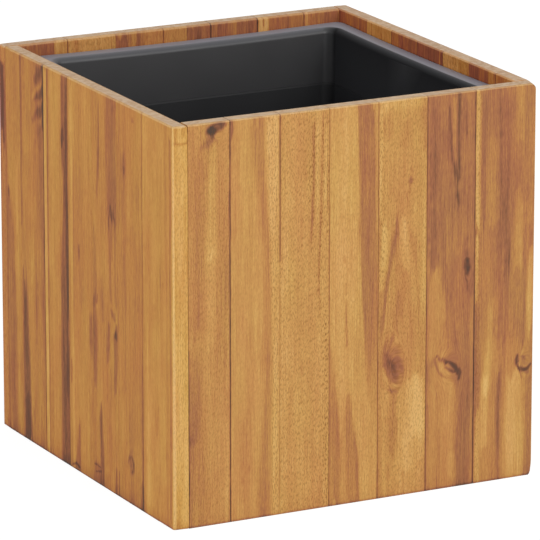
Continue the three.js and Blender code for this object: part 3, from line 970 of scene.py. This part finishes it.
# How far each joint has opened, by the number of the stave on its right
JOINTS = {
    "front": {1: 0.5, 2: 0.8, 3: 0.6, 4: 0.25, 5: 0.35, 6: 0.3, 7: 0.5},
    "right": {2: 0.7, 4: 0.3, 5: 0.5, 6: 0.45},
    "back": {2: 0.25, 3: 0.7, 4: 0.6, 5: 0.35, 7: 0.55},
    "left": {3: 0.7, 4: 0.3, 7: 0.35},
}


def stave_lines(side, number, size, zone, fine):
    """The grid lines along a stave's width, depth and height, doubled at the fine heights."""
    last = number == LAST_STAVE
    reach = [SEAM_REACH if joint in JOINTS[side] else GLUED_EASING for joint in (number, number + 1)]
    wide = grid_lines(size[0], reach[0], zone if last else reach[1], STAVE_CELL[0])
    inner_easing = max(INNER_ROUND[side], TOP_EASING)
    deep = grid_lines(size[1], max(zone, TOP_EASING), inner_easing, STAVE_CELL[1])
    tall = grid_lines(size[2], STAVE_EASING, INNER_ROUND[side], STAVE_CELL[2])
    middles = (tall[1:] + tall[:-1]) / 2
    for down, span in fine:
        tall = np.union1d(tall, middles[np.abs(size[2] - middles - down) < span])
    return [wide, deep, tall]


def stave_easings(side, number, points, size, worn):
    """Each point's easing at the low and the high end of the three axes."""
    down = size[2] - points[:, 2]
    low = np.full(points.shape, STAVE_EASING)
    high = np.full(points.shape, STAVE_EASING)
    inner_round = INNER_ROUND[side]
    inner = points[:, 1] > size[1] / 2
    low[:, 1] = np.where(down < 2 * TOP_ROUND, TOP_EASING, STAVE_EASING)
    high[:, 1] = np.where(down < 2 * inner_round, max(inner_round, TOP_EASING), STAVE_EASING)
    high[:, 2] = np.where(inner, inner_round, TOP_ROUND)
    for easing, joint in ((low, number), (high, number + 1)):
        opened = JOINTS[side].get(joint)
        easing[:, 0] = OPEN_EASING * opened if opened else GLUED_EASING
    if number == LAST_STAVE:
        outer = points[:, 1] < size[1] / 2
        far = points[:, 0] > size[0] / 2
        high[:, 0] = np.where(outer, worn, GLUED_EASING)
        low[:, 1] = np.where(far, np.maximum(worn, low[:, 1]), low[:, 1])
    return low, high


print("open joints:", sum(len(joints) for joints in JOINTS.values()))

# %% [markdown]
# The two free corners of a covering stave are rounded too. A Boolean cut could round them, but it
# would break up the grid that carries the figure. Instead, points in a corner rectangle move onto an
# ellipse, which shrinks towards the inner face. The first stave of the wall it covers carries what is
# left of the rounding on over its own top.

# %% Corners and whole form of a stave
FREE_EDGE = {"front": (1.2, 1.2), "right": (4.0, 4.0), "back": (1.5, 2.0), "left": (1.3, 3.2)}
FREE_CORNERS = {
    "front": ((8.4, 7.0), (4.2, 20)),
    "right": ((2.5, 1.2), (5, 5)),
    "back": ((3, 3), (1.2, 1.2)),
    "left": ((1.5, 1.5), (4, 4)),
}
CORNER_BACK = 1.8
SAND_LENGTH = 22
SAND_DEPTH = 3
END_SKIN = 0.02
TINY = 1e-9


def round_corner(points, size, across, high, top):
    """Rounds one corner at the far end of a board: a rectangle of points becomes a quarter ellipse,
    which shrinks from the outer face to the inner one."""
    share = np.clip(points[:, 1] / size[1], 0, 1)
    across = across + (np.minimum(across, CORNER_BACK) - across) * share
    high = high + (np.minimum(high, CORNER_BACK) - high) * share
    x = (points[:, 0] - (size[0] - across)) / across
    z = (points[:, 2] - size[2] + high) / high if top else (high - points[:, 2]) / high
    inside = (x > 0) & (z > 0)
    pull = np.where(inside, np.maximum(x, z) / np.maximum(np.hypot(x, z), TINY), 1.0)
    moved = points.copy()
    moved[:, 0] = np.where(inside, size[0] - across + across * x * pull, points[:, 0])
    shifted = size[2] - high + high * z * pull if top else high - high * z * pull
    moved[:, 2] = np.where(inside, shifted, points[:, 2])
    return moved


def sand_corner(points, size, radius):
    """Carries the covering wall's rounded corner on over this board's top: its circle, fading out."""
    out = np.clip(1 - points[:, 1] / radius, 0, 1)
    near = np.clip(1 - points[:, 0] / SAND_LENGTH, 0, 1)
    high = np.clip(1 - (size[2] - points[:, 2]) / (SAND_DEPTH * radius), 0, 1)
    drop = radius * (1 - np.sqrt(1 - out * out)) * near * near * (3 - 2 * near) * high
    return points - np.outer(drop, (0, 0, 1))


def stave_form(side, number, size, fine):
    """An eased board in its own corner: points, quads, which points lie on its sawn ends, the width
    of its free edge, and the easing of that edge beside each point."""
    edge_top, edge_bottom = FREE_EDGE[side]
    zone = max(edge_top, edge_bottom) if number == LAST_STAVE else STAVE_EASING
    points, quads = box_shell(stave_lines(side, number, size, zone, fine))
    worn = edge_top + (edge_bottom - edge_top) * (size[2] - points[:, 2]) / size[2]
    points = ease(points, size, *stave_easings(side, number, points, size, worn))
    end = (points[:, 2] < END_SKIN) | (points[:, 2] > size[2] - END_SKIN)
    if number == 1:
        points = sand_corner(points, size, CORNER_BACK)
    if number == LAST_STAVE:
        for (across, tall), top in zip(FREE_CORNERS[side], (True, False)):
            points = round_corner(points, size, across, tall, top)
    return points, quads, end, zone, worn


print("rounded corners:", sum(len(corners) for corners in FREE_CORNERS.values()))

# %% [markdown]
# Use leaves marks on the finished walls. An open joint catches a dark line, broken here and there,
# and two joints are open over a part of their length only, and the side faces inside every joint get
# painted shade. The foot of the walls is painted darker: a painted shade that fades upward, with a
# thin painted contact shadow along the ground. The free edges are pale and dry, partly worn and partly
# a painted highlight. These marks follow the form of a board, so each is worked out from a point's
# place on it and added to the shade.

# %% Seams, painted foot shade and pale free edges
PART_OPEN = {("front", 1): (245, box_height), ("front", 3): (0, 160)}
SEAM_WIDTH = 1.0
SEAM_SOFTNESS = 0.5
SEAM_SIDE_PAINTED_SHADE = 0.2
SEAM_SKIN = 0.01
SEAM_BREAKS = 0.4
SEAM_BREAK_LENGTH = 17
# The foot of each wall is painted darker: a painted shade fading over a height, and a thin painted
# contact shadow at the ground.
FOOT_SHADE = {"front": 0.05, "right": 0.05, "back": 0.05, "left": 0.14}
FOOT_SHADE_HEIGHT = 14
CONTACT_SHADOW = 0.5
CONTACT_SHADOW_HEIGHT = 1.8
# The free edges are painted pale and dry: partly wear, partly a painted highlight.
RUBBED_AND_HIGHLIT_SIDES = {"front": 1, "right": 1, "back": 0, "left": 1}
RUBBED_RISE = 2.4


def seam_dark(side, number, points, size, seed):
    """The dark of the open joints at a stave's two edges, its depth broken by slow hills, and painted
    shade on the side faces inside every joint.
    """
    down = size[2] - points[:, 2]
    dark = np.zeros(len(points))
    for joint, at in ((number, 0), (number + 1, size[0])):
        opened = JOINTS[side].get(joint, 0)
        start, stop = PART_OPEN.get((side, joint), (0, box_height))
        if opened:
            broken = 1 + SEAM_BREAKS * hills(down / SEAM_BREAK_LENGTH, down * 0 + joint, seed)
            seam = [(at, start, SEAM_WIDTH), (at, stop, SEAM_WIDTH)]
            dark = dark + opened * broken * stroke(points[:, 0], down, SEAM_SOFTNESS, seam)
    # Painted shade on the side faces inside every joint.
    far_edge = (points[:, 0] > size[0] - SEAM_SKIN) & (number != LAST_STAVE)
    return dark + SEAM_SIDE_PAINTED_SHADE * ((points[:, 0] < SEAM_SKIN) | far_edge)


def painted_foot_shade(side, height):
    """Painted shade at the foot of a wall: straight fades from the ground up, a long painted shade and
    a short painted contact shadow.
    """
    painted_foot_fade = FOOT_SHADE[side] * np.clip(1 - height / FOOT_SHADE_HEIGHT, 0, 1)
    return painted_foot_fade + CONTACT_SHADOW * np.clip(1 - height / CONTACT_SHADOW_HEIGHT, 0, 1)


def rubbed_edge_and_highlight(side, points, size, worn):
    """Where the pale wear and painted highlight lie: 1 along the middle of a rounded free edge, falling
    to 0 where the two flat faces begin.
    """
    corner_x = np.clip((points[:, 0] - size[0]) / worn + 1, 0, 1)
    corner_y = np.clip(1 - points[:, 1] / worn, 0, 1)
    return RUBBED_AND_HIGHLIT_SIDES[side] * np.clip(RUBBED_RISE * np.minimum(corner_x, corner_y), 0, 1)


print("soil reaches", FOOT_SHADE_HEIGHT, "mm up the walls")

# %% [markdown]
# Now a stave is put together from its form, its figure and its marks. The stave that covers a corner
# shows its edge on the next wall, so its figure runs on round that corner. Its free edge is pale,
# partly worn and partly a painted highlight, and the top edges are worn pale. The walls were not oiled
# alike: some took more oil, and some are redder. The solids leave a gap at each glued joint, and the
# staves are a little wider to fill most of it.

# %% Make the staves
GLUE_FILL = 0.1
LEAN = 0.5
OIL = {"front": 0.99, "right": 1.07, "back": 1.02, "left": 1.025}
GOLDEN = {"front": 0, "right": -0.016, "back": -0.008, "left": 0}
WORN_PALE = 0.25
ARRIS_DRY = 0.3
RUBBED_PALE_AND_HIGHLIGHT = 0.4
RUBBED_DRY_AND_HIGHLIGHT = 0.15
EDGE_PORES = 0.3
EDGE_BACK = 0.1
SEEN_OUTSIDE = ("front", "left")
SEEDS_PER_WALL = 10


def make_stave(side, number, stave, seed):
    """One stave: an eased board in its solid's box, with the figure of its own wood."""
    node = f"{side}_stave_{number}"
    last = number == LAST_STAVE
    low, high = wall_box(node, side)
    low = low - (GLUE_FILL, 0, 0)
    high = high + (0 if last else GLUE_FILL, 0, 0)
    size = high - low
    points, quads, end, zone, worn = stave_form(side, number, size, stave["fine"])

    across = points[:, 0] + low[0] + half_width
    depth = points[:, 1]
    down = size[2] - points[:, 2]
    seen_depth = 0 if side in SEEN_OUTSIDE else size[1]
    lean = LEAN * (-1) ** seed
    on_edge = last & (points[:, 0] > size[0] - zone) & (depth < size[1] - EDGE_BACK)
    unfolded = np.where(on_edge, across + depth, across + lean * (depth - seen_depth))
    strokes = stave["strokes"]
    if seen_depth:
        strokes = [*strokes, *chance_streaks(low[0] + half_width, high[0] + half_width, seed)]
    shade, grain = figure(unfolded, depth, down, stave["tone"], strokes, stave["knots"], seed)
    # The side faces in the joints and the foot of the wall get painted shade here.
    shade = shade + seam_dark(side, number, points, size, seed) + painted_foot_shade(side, points[:, 2])
    arris = (down > END_SKIN) & (down < TOP_ROUND) & ~end
    # The free edge is painted pale: partly wear, partly a painted highlight.
    rubbed_and_highlit = rubbed_edge_and_highlight(side, points, size, worn) if last else np.zeros(len(points))
    pores = np.full(len(points), stave["pores"])
    for change, softness, *line in stave["porous"]:
        pores = pores + change * stroke(across, down, softness, line)
    attributes = {
        "shade": shade - WORN_PALE * arris - RUBBED_PALE_AND_HIGHLIGHT * rubbed_and_highlit,
        "grain": grain,
        "end": np.maximum(np.where(arris, ARRIS_DRY, end), RUBBED_DRY_AND_HIGHLIGHT * rubbed_and_highlit),
        "pores": np.where(on_edge, EDGE_PORES, pores),
        "oil": np.full(len(points), OIL[side]),
        "golden": np.full(len(points), GOLDEN[side]),
    }
    placed = turned(points + low, side)
    return add_piece(
        f"{node}_board", placed, quads.tolist(), oiled_acacia, "box", [node], attributes
    )


boards = []
for turn, (side, wall) in enumerate(zip(TURNS, (FRONT, RIGHT, BACK, LEFT))):
    for number, stave in wall.items():
        boards.append(make_stave(side, number, stave, SEEDS_PER_WALL * turn + number))
print("staves:", len(boards), "with", sum(len(b.data.polygons) for b in boards), "quads")

# %% [markdown]
# ## The inner frame
# Posts, rails and slats are plain battens of the same wood, sawn and thinly oiled. They show when
# the pot is lifted out. The saw leaves them rougher than the staves, so the fibres stand out more.
# A batten is a short board, so the same shell and the same chance streaks serve for all of them.

# %% Make posts, rails and slats
BATTEN_CELL = 3.0
BATTEN_LENGTH_CELL = 6.0
BATTEN_EASING = 1.0
BATTEN_PORES = 0.2
BATTEN_TONES = (0.35, 0.7)
TONE_SEED = 5
FIRST_BATTEN_SEED = 100
SAWN_FIBRE, SAWN_ROUGHNESS = 0.24, 0.62

sawn_batten = oiled_wood("sawn_acacia_batten", SAWN_FIBRE, SAWN_ROUGHNESS)


def make_batten(node, tone, seed):
    """An eased board in its solid's box, with the fibres along its longest side."""
    low, high = node_box(node)
    size = high - low
    along = int(np.argmax(size))
    cell = [BATTEN_LENGTH_CELL if axis == along else BATTEN_CELL for axis in range(3)]
    lines = [grid_lines(s, BATTEN_EASING, BATTEN_EASING, c) for s, c in zip(size, cell)]
    points, quads = box_shell(lines)
    points = ease(points, size, BATTEN_EASING, BATTEN_EASING)
    side, other = [axis for axis in range(3) if axis != along]
    across = points[:, side] + LEAN * points[:, other]
    streaks = chance_streaks(0, size[side], seed)
    shade, grain = figure(across, points[:, other], points[:, along], tone, streaks, [], seed)
    end = np.abs(points[:, along] - size[along] / 2) > size[along] / 2 - END_SKIN
    attributes = {
        "shade": shade,
        "grain": grain,
        "end": end.astype(float),
        "pores": np.full(len(points), BATTEN_PORES),
        "oil": np.ones(len(points)),
        "golden": np.zeros(len(points)),
    }
    placed = points + low
    return add_piece(
        f"{node}_batten", placed, quads.tolist(), sawn_batten, "box", [node], attributes
    )


battens = []
names = [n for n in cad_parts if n.endswith(("_post", "_rail")) or n.startswith("base_slat")]
names.sort()
tones = np.random.default_rng(TONE_SEED).uniform(*BATTEN_TONES, len(names))
for count, (node, tone) in enumerate(zip(names, tones)):
    battens.append(make_batten(node, tone, FIRST_BATTEN_SEED + count))
print("battens:", len(battens))

# %% [markdown]
# ## Moulded plastic
# The pot is injection moulded in black polypropylene. The mould was left with a fine satin texture,
# which scatters light at a low angle, and the rim is painted a lighter grey as well: a painted sheen.
# The wall below the stacking shoulder is painted darker: a painted shadow of the front wall. One number
# per point, the finish with its painted light, picks the colour and the gloss: about a quarter for the
# painted shadow, a half for the satin wall and 1 for the painted sheen of the rim. The real texture is
# finer than a pixel and is drawn coarser.

# %% Moulded polypropylene material
# The light grey at 1 is a painted sheen on the rim; the two darkest colours carry the painted shadow
# below the shoulder and the painted shade of the right side.
FINISH_AND_PAINTED_LIGHT_COLOURS = {0.0: "#0d0d0e", 0.25: "#19191b", 0.5: "#1b1a1c", 1.0: "#70707a"}
SATIN = 0.5
# Size in mm, and how much finer detail is added
TEXTURE = (1.2, 2.0)
CLOUD = (60.0, 3.0)
TEXTURE_STRENGTH = 0.15
TEXTURE_HEIGHT = 0.1
PLASTIC_ROUGHNESS = (0.42, 0.56)
SATIN_GLOSS = 0.85
PLASTIC_IOR = 1.49
BLOOM = "#e4e6f0"
BLOOM_WEIGHT = 0.25
BLOOM_ROUGHNESS = 0.4

moulded_pp, tree = new_material("moulded_polypropylene")
place = add_node(tree, "ShaderNodeTexCoord").outputs["Object"]
texture, cloud = [
    add_node(tree, "ShaderNodeTexNoise", {"Vector": place, "Scale": 1 / (size * MM), "Detail": detail})
    for size, detail in (TEXTURE, CLOUD)
]
finish_and_painted_light = add_node(tree, "ShaderNodeAttribute", attribute_name="finish_and_painted_light").outputs["Fac"]
ramp = add_node(tree, "ShaderNodeValToRGB", {"Fac": finish_and_painted_light})
set_stops(ramp, FINISH_AND_PAINTED_LIGHT_COLOURS)
sheen = add_node(
    tree,
    "ShaderNodeMapRange",
    {"Value": cloud.outputs[0], "To Min": PLASTIC_ROUGHNESS[0], "To Max": PLASTIC_ROUGHNESS[1]},
)
gloss = add_node(
    tree, "ShaderNodeMapRange", {"Value": finish_and_painted_light, "From Max": SATIN, "To Max": SATIN_GLOSS}
)
bump = add_node(
    tree,
    "ShaderNodeBump",
    {"Height": texture.outputs[0], "Strength": TEXTURE_STRENGTH, "Distance": TEXTURE_HEIGHT * MM},
)
surface = add_node(
    tree,
    "ShaderNodeBsdfPrincipled",
    {
        "Base Color": ramp.outputs["Color"],
        "Roughness": sheen.outputs[0],
        "Normal": bump.outputs[0],
        "IOR": PLASTIC_IOR,
        "Specular IOR Level": gloss.outputs[0],
        "Sheen Weight": BLOOM_WEIGHT,
        "Sheen Roughness": BLOOM_ROUGHNESS,
        "Sheen Tint": linear(BLOOM),
    },
)
add_node(tree, "ShaderNodeOutputMaterial", {"Surface": surface.outputs[0]})
print("material:", moulded_pp.name)

# %% [markdown]
# ## The pot
# One moulding: a flat rim that hangs down a short skirt, one smooth lip, a stacking shoulder, drafted
# walls with round corners, and a floor on a foot ring with four drain holes. Box modelling with a
# subdivision modifier could make it, but its radii would then be hard to set. Here its section is a
# line of stations, each a half width, a corner radius and a height, and a rounded square is carried
# along that line.

# %% Rings and fillets of the pot
LIP_DROP = 6.5
WALL_INSET = 21
DRAFT_ANGLE = 2
BODY_CORNER = 13
BASE_CORNER = 22
CORNER_POINTS = 13
SIDE_POINTS = 9
FILLET_STEPS = 6

pot_low, pot_high = node_box("inner_pot")
rim_half, rim_top, pot_bottom = pot_high[0], pot_high[2], pot_low[2]
body_half = rim_half - WALL_INSET
body_top = rim_top - LIP_DROP
draft = np.tan(radians(DRAFT_ANGLE))


def ring(half, radius, z):
    """A rounded square: four quarter circles of the radius, with points along the straights."""
    angle = np.linspace(0, np.pi / 2, CORNER_POINTS)
    arc = (half - radius) + radius * np.stack([np.cos(angle), np.sin(angle)], axis=1)
    run = np.linspace(arc[-1], arc[-1] * (-1, 1), SIDE_POINTS)[1:-1]
    side = np.concatenate([arc, run])
    quarter = np.array([[0, 1], [-1, 0]])
    flat = np.concatenate([side @ np.linalg.matrix_power(quarter, k) for k in range(4)])
    return np.column_stack([flat, np.full(len(flat), z)])


def fillet(half, z, size, start, end, corner):
    """Stations round a quarter circle of the section."""
    angle = np.radians(np.linspace(start, end, FILLET_STEPS + 1))
    out, up = size * np.cos(angle), size * np.sin(angle)
    return [(half + o, corner + o, z + u) for o, u in zip(out, up)]


def body(z, inset, step):
    """A station of the drafted body: inset 0 outside, the wall's thickness inside."""
    depth = (body_top - z) / (body_top - pot_bottom)
    corner = BODY_CORNER + (BASE_CORNER - BODY_CORNER) * depth
    return (body_half - (body_top - z) * draft - inset - step, corner - inset, z)


print("pot: rim", round(2 * rim_half), "mm wide,", round(rim_top - pot_bottom, 1), "mm high")

# %% [markdown]
# The line of stations runs from the underside up the outside, over the rim, round the lip and down
# to the floor. The wall is about equally thick everywhere, as a moulded wall has to be so that it
# cools evenly. The stations are kept in groups, because the finish changes between them.

# %% Stations of the pot
POT_WALL = 2.5
RIM_SKIRT = 10
RIM_ROUND = 2
RIM_FLAT = 15.5
RIM_CORNER = 12
LIP_CORNER = 21
LIP_STEPS = 10
SHOULDER_DEPTH = 61
SHOULDER_STEP = 1
SHOULDER_SLOPE = 2
FINISH_EDGE = 0.5
BASE_ROUND = 8
FOOT_HEIGHT = 4
FOOT_WIDTH = 9

lip_half = rim_half - RIM_FLAT
shoulder = rim_top - SHOULDER_DEPTH
wall_top = body(body_top, POT_WALL, 0)


def lip(angle):
    """A station of the lip: a quarter ellipse from the flat of the rim down to the inner wall."""
    down = 1 - np.cos(angle)
    inward = np.sqrt(max(0, 1 - (1 - down) ** 2))
    half = lip_half - (lip_half - wall_top[0]) * inward
    return (half, LIP_CORNER - (LIP_CORNER - wall_top[1]) * inward, rim_top - LIP_DROP * down)


foot = body(pot_bottom + BASE_ROUND, BASE_ROUND, SHOULDER_STEP)
floor_top = pot_bottom + FOOT_HEIGHT + POT_WALL
inside = body(floor_top + BASE_ROUND, POT_WALL + BASE_ROUND, SHOULDER_STEP)
skirt = rim_half - POT_WALL
web = rim_top - POT_WALL
outside_stations = [
    (foot[0] - FOOT_WIDTH, foot[1] - FOOT_WIDTH, pot_bottom + FOOT_HEIGHT),
    (foot[0] - FOOT_WIDTH, foot[1] - FOOT_WIDTH, pot_bottom),
    *fillet(foot[0], foot[2], BASE_ROUND, -90, 0, foot[1]),
    body(shoulder - SHOULDER_SLOPE, 0, SHOULDER_STEP),
    body(shoulder, 0, 0),
    body(body_top, 0, 0),
    (lip_half + POT_WALL, LIP_CORNER + POT_WALL, web),
]
rim_stations = [
    (skirt, RIM_CORNER - POT_WALL, web),
    (skirt, RIM_CORNER - POT_WALL, rim_top - RIM_SKIRT),
    (rim_half, RIM_CORNER, rim_top - RIM_SKIRT),
    *fillet(rim_half - RIM_ROUND, rim_top - RIM_ROUND, RIM_ROUND, 0, 90, RIM_CORNER - RIM_ROUND),
]
lip_stations = [lip(angle) for angle in np.linspace(0, np.pi / 2, LIP_STEPS + 1)]
satin_stations = [body(shoulder + FINISH_EDGE, POT_WALL, 0)]
slope_stations = [body(shoulder, POT_WALL, 0), body(shoulder - SHOULDER_SLOPE, POT_WALL, SHOULDER_STEP)]
# The wall below the shoulder is painted darker: a painted shadow of the front wall's top edge.
painted_shadow_stations = [
    body(shoulder - SHOULDER_SLOPE - FINISH_EDGE, POT_WALL, SHOULDER_STEP),
    *fillet(inside[0], inside[2], BASE_ROUND, 0, -90, inside[1]),
]
print("pot: floor at", round(floor_top, 1), "mm, shoulder at", round(shoulder, 1), "mm")

# %% [markdown]
# The walls join each ring of points to the next. The floor and the underside are flat and have
# holes, so they are filled with triangles between their outlines, and the holes get walls of their
# own. A long thin side sags a little, so the rim's corners stand higher than its middles, and the
# loose pot has slid to the right within its play.

# %% Faces and drain holes of the pot
CORNER_RISE = 2.2
POT_PLAY = 2.5
DRAIN_RADIUS = 5
DRAIN_POINTS = 24
SLAT_GAPS_APART = 3
WELD = 1e-6


def join_rings(start, count, rings):
    """Quads between rings of count points each, numbered from start."""
    i, j = np.meshgrid(np.arange(rings - 1), np.arange(count), indexing="ij")
    step = (j + 1) % count
    quads = np.stack([i * count + j, i * count + step, (i + 1) * count + step, (i + 1) * count + j], -1)
    return start + quads.reshape(-1, 4)


def fill_flat(points, loops, holes):
    """Triangles facing up over loops of points, without those inside the round holes."""
    edges = [edge for loop in loops for edge in zip(loop.tolist(), np.roll(loop, -1).tolist())]
    used = np.concatenate(loops)
    order = {old: new for new, old in enumerate(used.tolist())}
    flat = [Vector(p) for p in points[used, :2]]
    local = [(order[a], order[b]) for a, b in edges]
    triangles = np.array(delaunay_2d_cdt(flat, local, [], 1, WELD)[2])
    centre = points[used[triangles], :2].mean(axis=1)
    away = np.linalg.norm(centre[:, None] - holes[None], axis=2).min(axis=1)
    return used[triangles[away > DRAIN_RADIUS]]


sections = [
    outside_stations,
    rim_stations,
    lip_stations,
    satin_stations,
    slope_stations,
    painted_shadow_stations,
]
stations = [station for section in sections for station in section]
rings = np.stack([ring(*station) for station in stations])
count = rings.shape[1]
along = np.abs(rings[..., :2]).min(axis=-1) / rim_half
near_rim = np.clip((rings[..., 2] - shoulder) / SHOULDER_DEPTH, 0, 1)
rings[..., 2] += near_rim * CORNER_RISE * along**2
rings[..., 0] += POT_PLAY
walls = rings.reshape(-1, 3)

slats = [node_box(f"base_slat_{n}")[0] for n in (1, 2)]
reach = SLAT_GAPS_APART * np.abs(slats[1] - slats[0])[:2].max() / 2
centres = reach * np.array([(-1, -1), (1, -1), (1, 1), (-1, 1)])
angle = np.linspace(0, 2 * np.pi, DRAIN_POINTS, endpoint=False)
circle = DRAIN_RADIUS * np.column_stack([np.cos(angle), np.sin(angle)])
drains = [
    np.column_stack([centre + circle, np.full(DRAIN_POINTS, z)])
    for centre in centres
    for z in (stations[0][2], floor_top)
]
points = np.concatenate([walls, *drains])
first = len(walls) + DRAIN_POINTS * np.arange(len(drains))
loops = [start + np.arange(DRAIN_POINTS) for start in first]
below = fill_flat(points, [np.arange(count), *loops[0::2]], centres)
above = fill_flat(points, [np.arange(len(walls) - count, len(walls)), *loops[1::2]], centres)
tubes = [join_rings(start, DRAIN_POINTS, 2)[:, ::-1] for start in first[0::2]]
faces = [
    *join_rings(0, count, len(rings)).tolist(),
    *np.concatenate(tubes).tolist(),
    *below[:, ::-1].tolist(),
    *above.tolist(),
]
print("pot:", len(rings), "rings, drain holes", round(reach, 1), "mm from the middle")

# %% [markdown]
# The finish changes along the section: the lip passes from the painted sheen of the rim to the satin
# wall, and below the shoulder the wall is painted darker, a painted shadow. The right side is painted
# darker too, a painted shade, from its lip down, with a soft change at the corners. The rim is alike
# all round.

# %% Make the pot
# The rim's finish is a painted sheen: a light grey, fading down the lip into the satin wall.
RIM_PAINTED_SHEEN = 1.0
LIP_PAINTED_SHEEN = 0.6
EDGE_FINISH = 0.4
# Painted shadow: the shoulder's slope and the wall below it are painted dark.
SLOPE_PAINTED_SHADOW = 0.15
PAINTED_SHADOW_FINISH = 0.28
LIP_TOP_STEPS = 4
# Painted shade: how much darker the right side is painted, below the lip and on it.
RIGHT_PAINTED_SHADE = 0.6
RIGHT_LIP_PAINTED_SHADE = 0.95
CORNER_BLEND = 22
RIM_ONLY = 0.9

# The finish at the first and the last of a run of stations, and how many there are
runs = (
    (SATIN, SATIN, len(outside_stations)),
    (RIM_PAINTED_SHEEN, RIM_PAINTED_SHEEN, len(rim_stations)),
    (RIM_PAINTED_SHEEN, LIP_PAINTED_SHEEN, LIP_TOP_STEPS),
    (LIP_PAINTED_SHEEN, SATIN, len(lip_stations) - LIP_TOP_STEPS),
    (SATIN, EDGE_FINISH, len(satin_stations)),
    (SLOPE_PAINTED_SHADOW, SLOPE_PAINTED_SHADOW, len(slope_stations)),
    (PAINTED_SHADOW_FINISH, PAINTED_SHADOW_FINISH, len(painted_shadow_stations)),
)
moulded = np.repeat(np.concatenate([np.linspace(*run) for run in runs]), count)
# The right side is painted darker, a painted shade, from its lip down; the rim keeps its painted sheen.
right_side = np.clip((walls[:, 0] - np.abs(walls[:, 1])) / CORNER_BLEND + 0.5, 0, 1)
right_painted_shade = np.where(walls[:, 2] > body_top, RIGHT_LIP_PAINTED_SHADE, RIGHT_PAINTED_SHADE)
moulded = moulded * (1 - right_painted_shade * right_side * (moulded < RIM_ONLY))
in_drains = np.zeros(len(points) - len(walls))
attributes = {"finish_and_painted_light": np.concatenate([moulded, in_drains])}
pot = add_piece(
    "moulded_pot", points, faces, moulded_pp, "pot", ["inner_pot"], attributes
)
print("pot:", len(pot.data.polygons), "faces, finish up to", moulded.max())

# %% [markdown]
# ## Screws
# Eight screws hold the posts to the walls. They are turned from steel and zinc plated, which gives
# the eye a bright grey metal with a faint mottle of crystals. Their solids have the right form
# already, so they stay in place and only get this metal. The crystals are finer than a pixel and are
# drawn at 2 mm.

# %% Zinc
SPANGLE_SIZE = 2
ZINC = ("#a9a79f", "#c9c5ba")
ZINC_ROUGHNESS = (0.25, 0.45)

zinc, tree = new_material("zinc_plated_steel")
place = add_node(tree, "ShaderNodeTexCoord").outputs["Object"]
spangle = add_node(
    tree, "ShaderNodeTexNoise", {"Vector": place, "Scale": 1 / (SPANGLE_SIZE * MM), "Detail": 2.0}
)
tint = add_node(
    tree,
    "ShaderNodeMix",
    {0: spangle.outputs[0], 6: linear(ZINC[0]), 7: linear(ZINC[1])},
    data_type="RGBA",
)
sheen = add_node(
    tree,
    "ShaderNodeMapRange",
    {"Value": spangle.outputs[0], "To Min": ZINC_ROUGHNESS[0], "To Max": ZINC_ROUGHNESS[1]},
)
surface = add_node(
    tree,
    "ShaderNodeBsdfPrincipled",
    {"Base Color": tint.outputs[2], "Roughness": sheen.outputs[0], "Metallic": 1.0},
)
add_node(tree, "ShaderNodeOutputMaterial", {"Surface": surface.outputs[0]})
screws = [node for name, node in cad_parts.items() if "_screw_" in name]
for screw in screws:
    screw.data.materials.clear()
    screw.data.materials.append(zinc)
print("screws:", len(screws))
